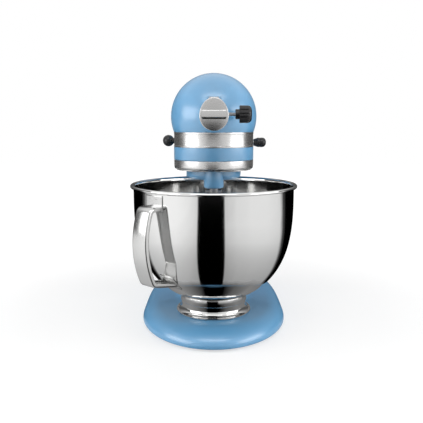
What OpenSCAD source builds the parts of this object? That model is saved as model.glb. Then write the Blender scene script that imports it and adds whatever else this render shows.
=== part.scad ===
// Tilt-head stand mixer, millimetres, +Z up, viewer at -Y.
// The table is z = 0. Lengths named _y run from the bowl's axis towards the rear.

/* [Bowl] */
// Outer radius of the bowl's upper wall
bowl_r = 109.6; // [106:0.1:112]
// Depth of the rounded part, from the shoulder to the lowest point
bowl_depth = 146; // [138:0.5:148]
// Height of the straight wall between the shoulder and the rolled rim
bowl_lip_h = 13.4; // [8:0.1:15]
// Sheet thickness of the bowl
bowl_wall = 1.2; // [0.8:0.1:2]
// Radius of the roll around the rim
rim_roll_r = 2.3; // [1.8:0.1:3]
// Gap from the base to the lowest point of the bowl
bowl_lift = 17.4; // [14:0.1:19]
// Radius of the foot ring's neck
foot_neck_r = 44.6; // [44:0.1:47]
// Radius of the foot ring's flange
foot_flange_r = 52.3; // [50:0.1:56]
// Turn of the bowl from locked to free
bowl_turn = 30; // [24:1:36]

/* [Bowl handle] */
// Angle of the handle, from the front towards the left
handle_angle = 42.5; // [30:0.5:60]
// Width of the handle strap
handle_w = 26; // [20:1:32]
// How far the handle stands out from the bowl's wall
handle_reach = 26.4; // [24:0.2:34]
// Sheet thickness of the handle
handle_t = 1.6; // [1.2:0.1:2.4]

/* [Stand] */
// Height of the rubber feet under the base
feet_h = 3; // [2:0.5:5]
// Thickness of the base casting
base_t = 21.6; // [20:0.2:26]
// Half width of the base at its widest
base_half_w = 104; // [99:0.5:106]
// Widest place of the base, behind the bowl's axis
base_mid_y = 40; // [34:1:46]
// Reach of the base in front of its widest place
base_front_l = 139.3; // [134:0.1:142]
// Reach of the base behind its widest place
base_rear_l = 196; // [190:0.5:200]
// Wall of the stand's castings
cast_wall = 5; // [4:0.5:6]
// Width of the column at the hinge
column_top_w = 88; // [84:1:96]
// Width of the column at the base
column_foot_w = 140; // [120:1:146]

/* [Tilt hinge] */
// Height of the hinge above the table
hinge_z = 232; // [231:0.5:236]
// Distance of the hinge behind the bowl's axis
hinge_y = 170; // [166:0.5:176]
// Radius of the hinge pin
hinge_pin_r = 7; // [5:0.5:8]
// Width of the tongue between the hinge ears
tongue_w = 52; // [44:1:56]

/* [Head] */
// Radius of the head's round front
head_r = 57.6; // [57:0.1:61]
// Height of the head's axis above the table
head_axis_z = 294.1; // [293:0.1:297]
// Length of the head behind the bowl's axis
head_rear_y = 245; // [240:1:256]
// Drop from the head's axis to the top of the trim band
band_drop = 20.2; // [19.8:0.1:22]
// Height of the trim band
band_h = 19.9; // [16:0.1:21]
// Thickness of the trim band
band_t = 1.2; // [0.8:0.1:2]
// Height of the painted gearcase below the trim band
case_skirt_h = 17; // [15:0.1:19]
// Wall of the head's castings
shell_wall = 3.5; // [2.5:0.1:4.5]
// Radius of the drip ring
drip_ring_r = 53.8; // [53:0.1:55]
// Height of the drip ring
drip_ring_h = 13.8; // [12:0.1:15]

/* [Attachment hub] */
// Radius of the attachment hub's bore
hub_bore_r = 13.5; // [12:0.1:14]
// Depth of the attachment hub's bore
hub_bore_l = 22; // [18:1:24]
// Outer radius of the hub socket
hub_socket_r = 17.2; // [16.5:0.1:18]
// Reach of the hub socket in front of the bowl's axis
hub_reach = 80; // [78:0.5:84]
// Radius of the hub cover's lower half
hub_cover_r = 17.8; // [17:0.1:18.5]

/* [Drive] */
// Radius of the planetary
planetary_r = 37; // [35:0.1:40]
// Height of the planetary's underside above the table
planetary_z = 211; // [208:0.1:214]
// Radius of the beater shaft
beater_shaft_r = 6.35; // [6:0.05:6.5]
// Height of the beater shaft's lower end above the table
beater_end_z = 180; // [176:0.5:186]
// Module of the planetary teeth
planet_module = 1.75; // [1.7:0.01:1.8]
// Module of the other teeth
drive_module = 1.5; // [1.46:0.01:1.52]
// Outer radius of the motor's field
field_r = 35; // [34:0.1:36]
// Radius of the armature core
armature_r = 21; // [20:0.1:21.5]
// Radius of the armature shaft
armature_shaft_r = 4; // [3.5:0.1:4.2]

/* [Controls] */
// Radius of the speed lever's ball
speed_ball_r = 8.7; // [7:0.1:10]
// Radius of the lock lever's knob
lock_knob_r = 7.4; // [6:0.1:9]
// Radius of the thumbscrew's knob
thumb_knob_r = 10.8; // [9:0.1:12]

/* [Hidden] */

$fn = 64;

// Gaps
slip = 0.05;          // radial gap of a shaft in its hole
touch = 0.02;         // gap between fixed parts that would otherwise share a face
seat_gap = 0.1;       // gap under the bowl
cut = 1;              // how far a cutting shape runs past a face

// Heights
base_top_z = feet_h + base_t;
bowl_floor_z = base_top_z + bowl_lift;
shoulder_z = bowl_floor_z + bowl_depth;
rim_z = shoulder_z + bowl_lip_h;
band_top_z = head_axis_z - band_drop;
band_bottom_z = band_top_z - band_h;
case_bottom_z = band_bottom_z - case_skirt_h;
drip_bottom_z = case_bottom_z - drip_ring_h;

// Plan
rim_lap = 0.2;        // how far the rim's roll runs into the wall
rim_roll_c = bowl_r + rim_roll_r - rim_lap;
rim_outer_r = rim_roll_c + rim_roll_r;
handle_face_r = bowl_r + handle_reach;
handle_front_y = handle_face_r * cos(handle_angle) + handle_w / 2 * sin(handle_angle);
front_reach = max(rim_outer_r, handle_front_y);
bowl_y = (front_reach - head_rear_y) / 2;

// Bowl outline: radius at a height, a rounded shape with these two powers
bowl_n = 2.75;
bowl_m = 2.25;
function bowl_curve(t) = pow(1 - pow(t, bowl_n), 1 / bowl_m);
function bowl_outer(t, grow = 0) = [(bowl_r + grow) * bowl_curve(t), shoulder_z - (bowl_depth + grow) * t];

// Head outline: a half sphere in front, a rounded taper behind
head_taper = 4.5;
function head_radius(y, inset = 0) =
    let (r = head_r - inset)
    y < 0 ? sqrt(max(0, r * r - y * y)) : r * sqrt(max(0, 1 - pow(y / (head_rear_y - inset), head_taper)));

// Half width of the head where a level plane crosses it this far below its axis
function head_half(y, inset, drop) = sqrt(max(0, pow(head_radius(y, inset), 2) - drop * drop));

// Half outline in that plane, from the front tip to the rear end
head_steps = 14;
function head_end(inset, drop) =
    (head_rear_y - inset) * pow(1 - pow(drop / (head_r - inset), 2), 1 / head_taper);
function head_outline(inset, drop) =
    let (r = sqrt(pow(head_r - inset, 2) - drop * drop), e = head_end(inset, drop))
    concat(
        [for (k = [0:head_steps]) let (a = 90 * k / head_steps) [r * sin(a), -r * cos(a)]],
        [for (k = [1:head_steps - 1]) let (y = e * sin(90 * k / head_steps)) [head_half(y, inset, drop), y]],
        [[0, e]]);

// Helpers
module at_bowl() {
    translate([0, bowl_y, 0]) children();
}

// A child drawn along +Z laid along +Y, its start at y
module along_y(y, z, x = 0) {
    translate([x, y, z]) rotate([-90, 0, 0]) children();
}

// A child drawn along +Z laid along +X, its start at x
module along_x(x, y, z) {
    translate([x, y, z]) rotate([0, 90, 0]) children();
}

module tube(r_out, r_in, h) {
    difference() {
        cylinder(r = r_out, h = h);
        translate([0, 0, -cut]) cylinder(r = r_in, h = h + 2 * cut);
    }
}

// Box centred on x = 0
module slab(w, y0, y1, z0, z1) {
    translate([-w / 2, y0, z0]) cube([w, y1 - y0, z1 - z0]);
}

// Points of a flat-sided ring
function ring_pts(r, n, turn = 0) =
    [for (i = [0:n - 1]) r * [cos(i * 360 / n + turn), sin(i * 360 / n + turn)]];

// Points of a gear with straight-flanked teeth; the shares are of one pitch
function gear_pts(teeth, r_root, r_tip, root_share, tip_share, turn = 0) = [
    for (i = [0:teeth - 1])
        for (k = [-1, 1])
            for (j = (k < 0 ? [0, 1] : [1, 0]))
                let (share = j == 0 ? root_share : tip_share)
                let (a = (i + k * share / 2) * 360 / teeth + turn)
                (j == 0 ? r_root : r_tip) * [cos(a), sin(a)]
];

// A power that keeps the sign
function power_of(v, p) = sign(v) * pow(abs(v), p);

// Two circles on the Y axis joined by their common tangents
module pill(r1, y1, r2, y2) {
    a = asin((r1 - r2) / (y2 - y1));
    translate([0, y1]) circle(r1);
    translate([0, y2]) circle(r2);
    polygon([
        [r1 * cos(a), y1 + r1 * sin(a)], [r2 * cos(a), y2 + r2 * sin(a)],
        [-r2 * cos(a), y2 + r2 * sin(a)], [-r1 * cos(a), y1 + r1 * sin(a)]
    ]);
}

// Solid through a stack of rings, each a list of points in the same turning sense
module loft(rings) {
    n = len(rings[0]);
    m = len(rings);
    polyhedron(
        points = [for (r = rings) each r],
        faces = concat(
            [[for (i = [0:n - 1]) i]],
            [for (k = [0:m - 2]) for (i = [0:n - 1])
                [k * n + i, (k + 1) * n + i, (k + 1) * n + (i + 1) % n]],
            [for (k = [0:m - 2]) for (i = [0:n - 1])
                [k * n + i, (k + 1) * n + (i + 1) % n, k * n + (i + 1) % n]],
            [[for (i = [n - 1:-1:0]) (m - 1) * n + i]]
        ));
}

// Round-headed screw along +Z, its head below z = 0
module screw(r, l, head_r, head_h) {
    cylinder(r = r, h = l);
    translate([0, 0, -head_h]) cylinder(r1 = head_r * 0.8, r2 = head_r, h = head_h);
}

// A strip of sheet along a path of [x, y] points, this thick to the path's left
function strip_normal(path, i) =
    let (a = path[max(0, i - 1)], b = path[min(len(path) - 1, i + 1)], d = (b - a) / norm(b - a))
    [-d[1], d[0]];
function strip_pts(path, t) = concat(
    path,
    [for (i = [len(path) - 1:-1:0]) path[i] + t * strip_normal(path, i)]);

// ---------------------------------------------------------------- Stand

base_edge_r = 24;       // how far the rounded edge runs in over the top
base_edge_shift = 6;    // further in at the front and less at the rear
base_tuck = 2;
base_draft = 2;
base_rear_power = 3.5;
base_arc_n = 24;
base_edge_steps = 6;
clamp_boss_r = 34;
clamp_boss_h = 4;
clamp_plate_t = 2;
clamp_plate_r = foot_neck_r - 3;
clamp_screw_ring_r = 24;
clamp_screw_r = 2.5;
foot_pad_r = 9;
foot_stem_r = 3;
foot_stem_h = 8;
feet_xy = [[-72, 0], [72, 0], [-64, 170], [64, 170], [0, -66]];
column_screw_r = 3;
column_screw_xy = [[-30, 116], [30, 116], [-34, 184], [34, 184]];
paint = [0.53, 0.72, 0.86];
steel = [0.75, 0.75, 0.77];
black = [0.06, 0.06, 0.07];

// Outline of the base drawn in by an inset: an ellipse in front, a fuller curve behind
function base_outline(inset, shift = 0) =
    let (w = base_half_w - inset, q = 2 / base_rear_power)
    concat(
        [for (i = [0:base_arc_n - 1]) let (t = 180 * i / base_arc_n)
            [w * power_of(cos(t), q), base_mid_y + shift + (base_rear_l - inset) * pow(sin(t), q)]],
        [for (i = [0:base_arc_n - 1]) let (t = 180 + 180 * i / base_arc_n)
            [w * cos(t), base_mid_y + shift + (base_front_l - inset) * sin(t)]]);

function base_ring(z, inset, shift = 0) = [for (p = base_outline(inset, shift)) [p[0], p[1], z]];

// Rounded edge: from an upright side at z0 to a level top, h higher
function base_edge(z0, h, inset) = [for (k = [0:base_edge_steps]) let (a = 90 * k / base_edge_steps)
    base_ring(z0 + h * sin(a), inset + base_edge_r * (1 - cos(a)), base_edge_shift * (1 - cos(a)))];

module base_foot() {
    color(paint) at_bowl() {
        difference() {
            union() {
                difference() {
                    loft(concat([base_ring(feet_h, base_tuck)],
                        base_edge(feet_h + base_tuck, base_t - base_tuck, 0)));
                    loft(concat([base_ring(feet_h - cut, cast_wall + base_draft)],
                        base_edge(feet_h, base_t - cast_wall, cast_wall + base_draft)));
                }
                for (p = feet_xy)
                    translate([p[0], p[1], feet_h]) cylinder(r = foot_pad_r, h = base_t - cast_wall / 2);
                translate([0, 0, feet_h + cast_wall])
                    cylinder(r = clamp_boss_r, h = base_t - cast_wall + clamp_boss_h);
            }
            for (p = feet_xy)
                translate([p[0], p[1], feet_h - cut])
                    cylinder(r = foot_stem_r, h = foot_stem_h + cut + touch);
            for (i = [0:2])
                rotate(i * 120) translate([clamp_screw_ring_r, 0, base_top_z - cast_wall])
                    cylinder(r = clamp_screw_r + touch, h = cast_wall + clamp_boss_h + cut);
            for (p = column_screw_xy)
                translate([p[0], p[1], base_top_z - cast_wall - cut])
                    cylinder(r = column_screw_r + touch, h = cast_wall + 2 * cut);
        }
    }
}

module rubber_feet() {
    color(black) at_bowl()
        for (p = feet_xy) translate([p[0], p[1], 0]) {
            cylinder(r1 = foot_pad_r - 1, r2 = foot_pad_r, h = feet_h - touch);
            cylinder(r = foot_stem_r - touch, h = feet_h + foot_stem_h);
        }
}

tab_w = 18;
tab_side_gap = 2;
tab_reach = 5;
foot_sheet_t = 1.6;
tab_inner_r = foot_neck_r - foot_sheet_t - tab_reach;
module clamp_plate() {
    color(steel) at_bowl() translate([0, 0, base_top_z + clamp_boss_h + touch]) difference() {
        cylinder(r = clamp_plate_r, h = clamp_plate_t);
        for (i = [0:2]) {
            rotate(i * 120 + bowl_turn)
                translate([tab_inner_r - tab_side_gap, -tab_w / 2 - tab_side_gap, -cut])
                    cube([2 * tab_reach, tab_w + 2 * tab_side_gap, clamp_plate_t + 2 * cut]);
            rotate(i * 120) translate([clamp_screw_ring_r, 0, -cut])
                cylinder(r = clamp_screw_r + touch, h = clamp_plate_t + 2 * cut);
        }
    }
}

module clamp_plate_screws() {
    color(steel) at_bowl() for (i = [0:2])
        rotate(i * 120)
            translate([clamp_screw_ring_r, 0, base_top_z + clamp_boss_h + clamp_plate_t + 2 * touch])
                rotate([180, 0, 0])
                    screw(clamp_screw_r, clamp_boss_h + clamp_plate_t + 3, 2 * clamp_screw_r, 2);
}

// Column: rounded sections that narrow and lean towards the hinge
ear_r = 19;
ear_gap = 0.3;
column_front_foot_y = 86;
column_front_back = 34;     // the column's front at the top, before the hinge
column_rear_foot_back = 48; // the column's rear at the base, behind the hinge
column_rear_top_back = 17;
column_shoulder = 8;        // the column's top, above the hinge's centre
slot_front_back = 20;       // the tongue's slot starts this far before the hinge
slot_floor_drop = 20;
slot_l = 100;               // the slot runs out of the column behind
slot_h = 60;                // and above
column_boss_r = 8;          // boss around each screw from below
column_boss_h = 14;
stop_hole_h = 16;           // depth of the height screw's hole
column_floor_t = 7;
column_hole_r = 22;
column_hole_y = 152;
column_rings = 14;
column_sides = 32;
column_top_z = hinge_z + column_shoulder;
function column_t(z) = max(0, z - base_top_z) / (column_top_z - base_top_z);
function column_front(z) = column_front_foot_y
    + (hinge_y - column_front_back - column_front_foot_y) * pow(column_t(z), 0.5);
function column_rear(z) = hinge_y + column_rear_top_back
    + (column_rear_foot_back - column_rear_top_back) * pow(1 - column_t(z), 2.2);
function column_half(z) = column_top_w / 2 + (column_foot_w - column_top_w) / 2 * pow(1 - column_t(z), 2.5);
function column_ring(z, inset = 0) =
    let (p = 2 / (2.2 + 1.8 * column_t(z)))
    let (mid = (column_front(z) + column_rear(z)) / 2)
    let (half = (column_rear(z) - column_front(z)) / 2 - inset)
    [for (i = [0:column_sides - 1]) let (a = i * 360 / column_sides)
        [(column_half(z) - inset) * power_of(cos(a), p), mid + half * power_of(sin(a), p), z]];
module column_loft(z0, z1, rings, inset) {
    loft([for (k = [0:rings]) let (u = k / rings) column_ring(z0 + (z1 - z0) * u * u * (3 - 2 * u), inset)]);
}

hook_x = 26;
hook_w = 10;
hook_gap = 1;
lock_travel = 12;
keeper_wall = 6;    // keeper around the hook's pocket
keeper_front = 2.5; // how far it stands before the column
keeper_depth = 12.5;
keeper_h = 19;
keeper_top_gap = 3; // under the gearcase's floor
pocket_h = 9;
pocket_depth = 9.5;
stop_screw_r = 3;
stop_screw_x = -14;
rear_floor_rise = 15;
rear_floor_z = case_bottom_z + rear_floor_rise;
stop_screw_y = hinge_y - slot_front_back - 6;
keeper_y = column_front(column_top_z) - keeper_front;
keeper_top_z = rear_floor_z - keeper_top_gap;

module column() {
    color(paint) at_bowl() difference() {
        union() {
            difference() {
                column_loft(base_top_z + touch, column_top_z, column_rings, 0);
                column_loft(base_top_z + column_floor_t, hinge_z - slot_floor_drop - 12, 8, cast_wall);
                translate([0, column_hole_y, base_top_z - cut])
                    cylinder(r = column_hole_r, h = 2 * column_floor_t);
            }
            for (s = [-1, 1])
                along_x(s > 0 ? tongue_w / 2 + ear_gap : -column_top_w / 2, hinge_y, hinge_z)
                    cylinder(r = ear_r, h = (column_top_w - tongue_w) / 2 - ear_gap);
            for (p = column_screw_xy)
                translate([p[0], p[1], base_top_z + touch]) cylinder(r = column_boss_r, h = column_boss_h);
            translate([hook_x - hook_w / 2 - keeper_wall, keeper_y, keeper_top_z - keeper_h])
                cube([hook_w + 2 * keeper_wall, keeper_depth, keeper_h]);
        }
        translate([hook_x - hook_w / 2 - hook_gap, keeper_y - cut, keeper_top_z - keeper_wall - pocket_h])
            cube([hook_w + 2 * hook_gap, pocket_depth + cut, pocket_h]);
        translate([-tongue_w / 2 - ear_gap, hinge_y - slot_front_back, hinge_z - slot_floor_drop])
            cube([tongue_w + 2 * ear_gap, slot_l, slot_h]);
        along_x(-column_top_w, hinge_y, hinge_z) cylinder(r = hinge_pin_r, h = 2 * column_top_w);
        for (p = column_screw_xy)
            translate([p[0], p[1], base_top_z - cut])
                cylinder(r = column_screw_r + touch, h = column_boss_h - 2 + cut);
        translate([stop_screw_x, stop_screw_y, column_top_z - stop_hole_h])
            cylinder(r = stop_screw_r + touch, h = stop_hole_h + cut);
        translate([(tongue_w / 2 + column_top_w / 2) / 2, hinge_y, hinge_z])
            cylinder(r = stop_screw_r + touch, h = ear_r + cut);
    }
}

module column_screws() {
    color(steel) at_bowl() for (p = column_screw_xy)
        translate([p[0], p[1], base_top_z - cast_wall - touch])
            screw(column_screw_r, cast_wall + 10, 2 * column_screw_r, 3);
}

module hinge_pin() {
    color(steel) at_bowl() along_x(-column_top_w / 2 + 1, hinge_y, hinge_z)
        cylinder(r = hinge_pin_r - touch, h = column_top_w - 2);
}

module hinge_set_screw() {
    color(steel) at_bowl()
        translate([(tongue_w / 2 + column_top_w / 2) / 2, hinge_y, hinge_z + hinge_pin_r])
            cylinder(r = stop_screw_r, h = ear_r - hinge_pin_r - 3);
}

module height_screw() {
    color(steel) at_bowl() translate([stop_screw_x, stop_screw_y, column_top_z - 14]) {
        cylinder(r = stop_screw_r, h = 14 + rear_floor_z - column_top_z - 1);
        translate([0, 0, 14 + touch]) cylinder(r = 2 * stop_screw_r, h = rear_floor_z - column_top_z - 0.5);
    }
}

// ---------------------------------------------------------------- Head castings

rear_cover_y = 200;
front_floor_rise = 12;       // gearcase floor over its lower edge
ring_pocket_rise = 7;
ramp_y = 62;
ramp_l = 30;
front_floor_z = case_bottom_z + front_floor_rise;
ring_pocket_z = case_bottom_z + ring_pocket_rise;
rear_floor_top_z = rear_floor_z + shell_wall;
case_screw_r = 2;
case_screw_xy = [[-44, ramp_y], [44, ramp_y], [-42, 152], [42, 152]];
housing_boss_h = 12;

// Full round of the head about its axis
module head_round(inset) {
    along_y(0, head_axis_z) rotate_extrude() polygon(concat(head_outline(inset, 0), [[0, 0]]));
}

// Plan of the head where the band's upper edge cuts it
module head_plan(inset) {
    half = head_outline(inset, band_drop);
    polygon(concat(half, [for (i = [len(half) - 2:-1:1]) [-half[i][0], half[i][1]]]));
}

module head_level(inset, z0, z1) {
    translate([0, 0, z0]) linear_extrude(z1 - z0) head_plan(inset);
}

// Shape drawn in the side view, y to the right and z up, this wide about x = 0
module side_prism(points, w) {
    rotate([90, 0, 90]) translate([0, 0, -w / 2]) linear_extrude(w) polygon(points);
}

wide = 160;
brush_y = 168;
cover_screw_y = head_rear_y - 15;
cover_screw_z = head_axis_z + 20;
brush_cap_r = 7;
hub_hole_gap = 0.1;

module upper_housing() {
    color(paint) at_bowl() difference() {
        union() {
            intersection() {
                difference() {
                    head_round(0);
                    head_round(shell_wall);
                }
                slab(wide, -100, rear_cover_y, band_top_z, head_axis_z + head_r + cut);
            }
            intersection() {
                head_round(1);
                for (p = case_screw_xy)
                    translate([p[0] - 5 + sign(p[0]) * 5, p[1] - 5, band_top_z])
                        cube([10, 10, housing_boss_h]);
            }
        }
        along_y(-hub_reach, head_axis_z) cylinder(r = hub_socket_r + hub_hole_gap, h = hub_reach);
        along_x(-wide / 2, brush_y, head_axis_z) cylinder(r = brush_cap_r + touch, h = wide);
        for (p = case_screw_xy)
            translate([p[0], p[1], band_top_z - cut])
                cylinder(r = case_screw_r + touch, h = housing_boss_h - 1);
    }
}

tongue_l = 15;
speed_z = 259;
speed_ball_y = 100;
speed_pivot_x = -30;
speed_ball_out = 69;
speed_half_turn = 15;
speed_lever_l = (speed_ball_out + speed_pivot_x) / cos(speed_half_turn);
speed_pivot_y = speed_ball_y - speed_lever_l * sin(speed_half_turn);
speed_stem_r = 2.2;
speed_stud_r = 3;
hook_arm = 6;
lock_y = 118;
lock_rod_r = 2.6;
lock_rod_z = rear_floor_top_z + lock_rod_r + 0.4;
bush_wall = 2;
planet_shaft_r = 8;
center_boss_r = 14;
center_boss_h = 9;

module lever_slots() {
    translate([-wide / 2, speed_pivot_y - 11, speed_z - speed_stem_r - 1.3])
        cube([wide / 2 - 30, 22, 2 * speed_stem_r + 2.6]);
    translate([30, lock_y - lock_rod_r - 0.6, lock_rod_z - lock_rod_r - 0.3])
        cube([wide / 2, lock_travel + 2 * lock_rod_r + 1.2, 2 * lock_rod_r + 0.6]);
}

module lower_gearcase() {
    color(paint) at_bowl() difference() {
        union() {
            difference() {
                intersection() {
                    union() {
                        head_level(0, case_bottom_z, band_bottom_z - touch);
                        head_level(band_t + touch, case_bottom_z, band_top_z - touch);
                    }
                    slab(wide, -100, rear_cover_y - touch, 0, 400);
                }
                side_prism([
                    [ramp_y, case_bottom_z - cut], [ramp_y, case_bottom_z], [ramp_y + ramp_l, rear_floor_z],
                    [300, rear_floor_z], [300, case_bottom_z - cut]
                ], wide);
                intersection() {
                    head_level(shell_wall + band_t, case_bottom_z, band_top_z + cut);
                    side_prism([
                        [-100, front_floor_z], [ramp_y, front_floor_z],
                        [ramp_y + ramp_l / 2, rear_floor_top_z],
                        [300, rear_floor_top_z], [300, 400], [-100, 400]
                    ], wide);
                }
                translate([0, 0, case_bottom_z - cut])
                    cylinder(r = ring_gear_r + touch, h = ring_pocket_rise + cut);
            }
            along_x(-tongue_w / 2, hinge_y, hinge_z) cylinder(r = ear_r, h = tongue_w);
            slab(tongue_w, hinge_y - tongue_l, hinge_y + tongue_l, hinge_z, rear_floor_z + 1);
            translate([0, 0, front_floor_z - 1]) cylinder(r = center_boss_r, h = center_boss_h + 1);
            translate([wheel_x, wheel_y, front_floor_z - 1]) cylinder(r = 9, h = center_boss_h - 1);
            for (p = case_screw_xy) {
                z = p[1] > ramp_y ? rear_floor_top_z - 1 : front_floor_z - 1;
                translate([p[0], p[1], z]) cylinder(r = 5, h = band_top_z - z - touch);
            }
            translate([speed_pivot_x, speed_pivot_y, rear_floor_top_z - 1])
                cylinder(r = speed_stud_r, h = speed_z + 3.5 - rear_floor_top_z + 1);
        }
        along_x(-tongue_w, hinge_y, hinge_z) cylinder(r = hinge_pin_r + slip, h = 2 * tongue_w);
        translate([0, 0, ring_pocket_z - cut])
            cylinder(r = planet_shaft_r + slip + bush_wall + touch, h = 40);
        translate([wheel_x, wheel_y, front_floor_z - 3])
            cylinder(r = wheel_shaft_r + slip + bush_wall + touch, h = 40);
        for (p = case_screw_xy)
            translate([p[0], p[1], case_bottom_z - cut]) cylinder(r = case_screw_r + touch, h = 60);
        lever_slots();
        translate([hook_x - hook_w / 2 - hook_gap, lock_y - hook_arm / 2 - hook_gap, rear_floor_z - cut])
            cube([hook_w + 2 * hook_gap, hook_arm + lock_travel + 10, shell_wall + 2 * cut]);
    }
}

module trim_band() {
    color(steel) at_bowl() difference() {
        intersection() {
            difference() {
                head_level(0, band_bottom_z, band_top_z - touch);
                head_level(band_t, band_bottom_z - cut, band_top_z + cut);
            }
            slab(wide, -100, rear_cover_y - touch, 0, 400);
        }
        lever_slots();
    }
}

module rear_cover() {
    color(paint) at_bowl() difference() {
        union() {
            intersection() {
                difference() {
                    head_round(0);
                    head_round(shell_wall);
                }
                slab(wide, rear_cover_y, 300, band_top_z - 0.5, 400);
            }
            intersection() {
                difference() {
                    head_level(0, rear_floor_z, band_top_z);
                    head_level(shell_wall, rear_floor_top_z, band_top_z + cut);
                }
                slab(wide, rear_cover_y, 300, 0, 400);
            }
            intersection() {
                head_round(1);
                along_y(cover_screw_y - 8, cover_screw_z) cylinder(r = 7, h = 40);
            }
        }
        along_y(rear_cover_y, cover_screw_z) cylinder(r = case_screw_r + touch, h = 60);
        along_y(cover_screw_y, cover_screw_z) cylinder(r = 5, h = 40);
        translate([inlet_x, inlet_y, rear_floor_z - cut])
            cylinder(r = inlet_r + touch, h = shell_wall + 2 * cut);
    }
}

module rear_cover_screw() {
    color(steel) at_bowl() along_y(cover_screw_y + touch, cover_screw_z) rotate([180, 0, 0])
        screw(case_screw_r, cover_screw_y - rear_bearing_y, 2.2 * case_screw_r, 2);
}

module housing_screws() {
    color(steel) at_bowl() for (p = case_screw_xy) {
        z = p[1] > ramp_y ? rear_floor_z : case_bottom_z;
        translate([p[0], p[1], z - touch])
            screw(case_screw_r, band_top_z + housing_boss_h - 4 - z, 2 * case_screw_r, 1.5);
    }
}

drip_corner = 5;
drip_wall = 3;
module drip_ring() {
    color(steel) at_bowl() translate([0, 0, drip_bottom_z]) rotate_extrude($fn = 96) difference() {
        union() {
            translate([drip_ring_r - drip_wall - drip_corner, 0])
                square([drip_wall, drip_ring_h - touch]);
            translate([drip_ring_r - drip_corner, drip_corner]) circle(drip_corner);
            translate([drip_ring_r - drip_wall - drip_corner, drip_corner])
                square([drip_wall + drip_corner, drip_ring_h - drip_corner - touch]);
        }
        translate([0, drip_corner]) square([drip_ring_r - drip_wall, drip_ring_h - drip_corner - drip_wall]);
        translate([0, -cut]) square([drip_ring_r - drip_corner - drip_wall + 1, drip_corner + 2 * cut]);
    }
}

inlet_x = -18;
inlet_y = 216;
inlet_r = 7;
module cord_inlet() {
    color(black) at_bowl() translate([inlet_x, inlet_y, rear_floor_z - 4]) difference() {
        union() {
            cylinder(r = inlet_r + 2, h = 4 - touch);
            cylinder(r = inlet_r, h = 4 + shell_wall + 2);
        }
        translate([0, 0, -cut]) cylinder(r = inlet_r / 2, h = 20);
    }
}

// ---------------------------------------------------------------- Attachment hub

hub_shaft_r = 8;
hub_square = 9.5;
hub_pin_r = 1.5;
hub_ear_r = 3;
hub_pin_z = head_axis_z + hub_socket_r + 3.2;
hub_pin_y = -hub_reach + 3;
hub_ear_x = 6;
hub_ear_w = 3;
thumb_y = -hub_reach + 10;
thumb_z = head_axis_z + 2.3;
thumb_stem_r = 2.3;
thumb_face_x = 31.3;
thumb_stem_x = hub_bore_r + 1;
thumb_stem_l = thumb_face_x + 5 - thumb_stem_x;
thumb_knob_l = 15.2;
thumb_collar_r = 6.2;
thumb_collar_l = 5;

module hub_socket() {
    color(steel) at_bowl() difference() {
        union() {
            along_y(-hub_reach, head_axis_z) cylinder(r = hub_socket_r, h = hub_bore_l + 10);
            for (s = [-1, 1])
                hull() {
                    along_x(s * (hub_ear_x + hub_ear_w / 2) - hub_ear_w / 2, hub_pin_y, hub_pin_z)
                        cylinder(r = hub_ear_r, h = hub_ear_w, $fn = 32);
                    translate([s * (hub_ear_x + hub_ear_w / 2) - hub_ear_w / 2, hub_pin_y - hub_ear_r,
                        head_axis_z + 14])
                        cube([hub_ear_w, 3 * hub_ear_r, 1]);
                }
        }
        along_y(-hub_reach - cut, head_axis_z) cylinder(r = hub_bore_r, h = hub_bore_l + cut);
        along_y(-hub_reach, head_axis_z) cylinder(r = hub_shaft_r + slip, h = hub_bore_l + 20);
        along_x(0, thumb_y, thumb_z) cylinder(r = thumb_stem_r + slip, h = 40);
        along_x(-20, hub_pin_y, hub_pin_z) cylinder(r = hub_pin_r + touch, h = 40);
    }
}

cover_gap = 0.3;
cover_t = 4;
cover_dome = 1.6;
cover_top_r = 15.5;
cover_top_z = 22;
bar_w = 30.6;
bar_h = 9.4;
bar_lift = 2.5;
module hub_cover() {
    color(steel) at_bowl() difference() {
        union() {
            translate([0, -hub_reach - cover_gap, head_axis_z]) rotate([90, 0, 0]) {
                linear_extrude(cover_t) pill(hub_cover_r, 0, cover_top_r, cover_top_z - cover_top_r);
                translate([0, 0, cover_t])
                    linear_extrude(cover_dome)
                        pill(hub_cover_r - 2.5, 0, cover_top_r - 2.5, cover_top_z - cover_top_r);
                translate([-bar_w / 2, bar_lift - bar_h / 2, cover_t])
                    cube([bar_w, bar_h, cover_dome + 1.4]);
            }
            along_x(-hub_ear_x + cover_gap, hub_pin_y, hub_pin_z)
                cylinder(r = hub_ear_r - 0.4, h = 2 * (hub_ear_x - cover_gap));
            slab(2 * (hub_ear_x - cover_gap), -hub_reach - cover_gap - 1, hub_pin_y,
                hub_pin_z - 1, hub_pin_z + hub_ear_r - 0.4);
        }
        along_x(-20, hub_pin_y, hub_pin_z) cylinder(r = hub_pin_r + slip, h = 40);
    }
}

module hub_cover_pin() {
    color(steel) at_bowl() along_x(-hub_ear_x - hub_ear_w, hub_pin_y, hub_pin_z)
        cylinder(r = hub_pin_r, h = 2 * (hub_ear_x + hub_ear_w));
}

module thumbscrew_stem() {
    color(steel) at_bowl() along_x(thumb_stem_x, thumb_y, thumb_z)
        cylinder(r = thumb_stem_r, h = thumb_stem_l);
}

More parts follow.
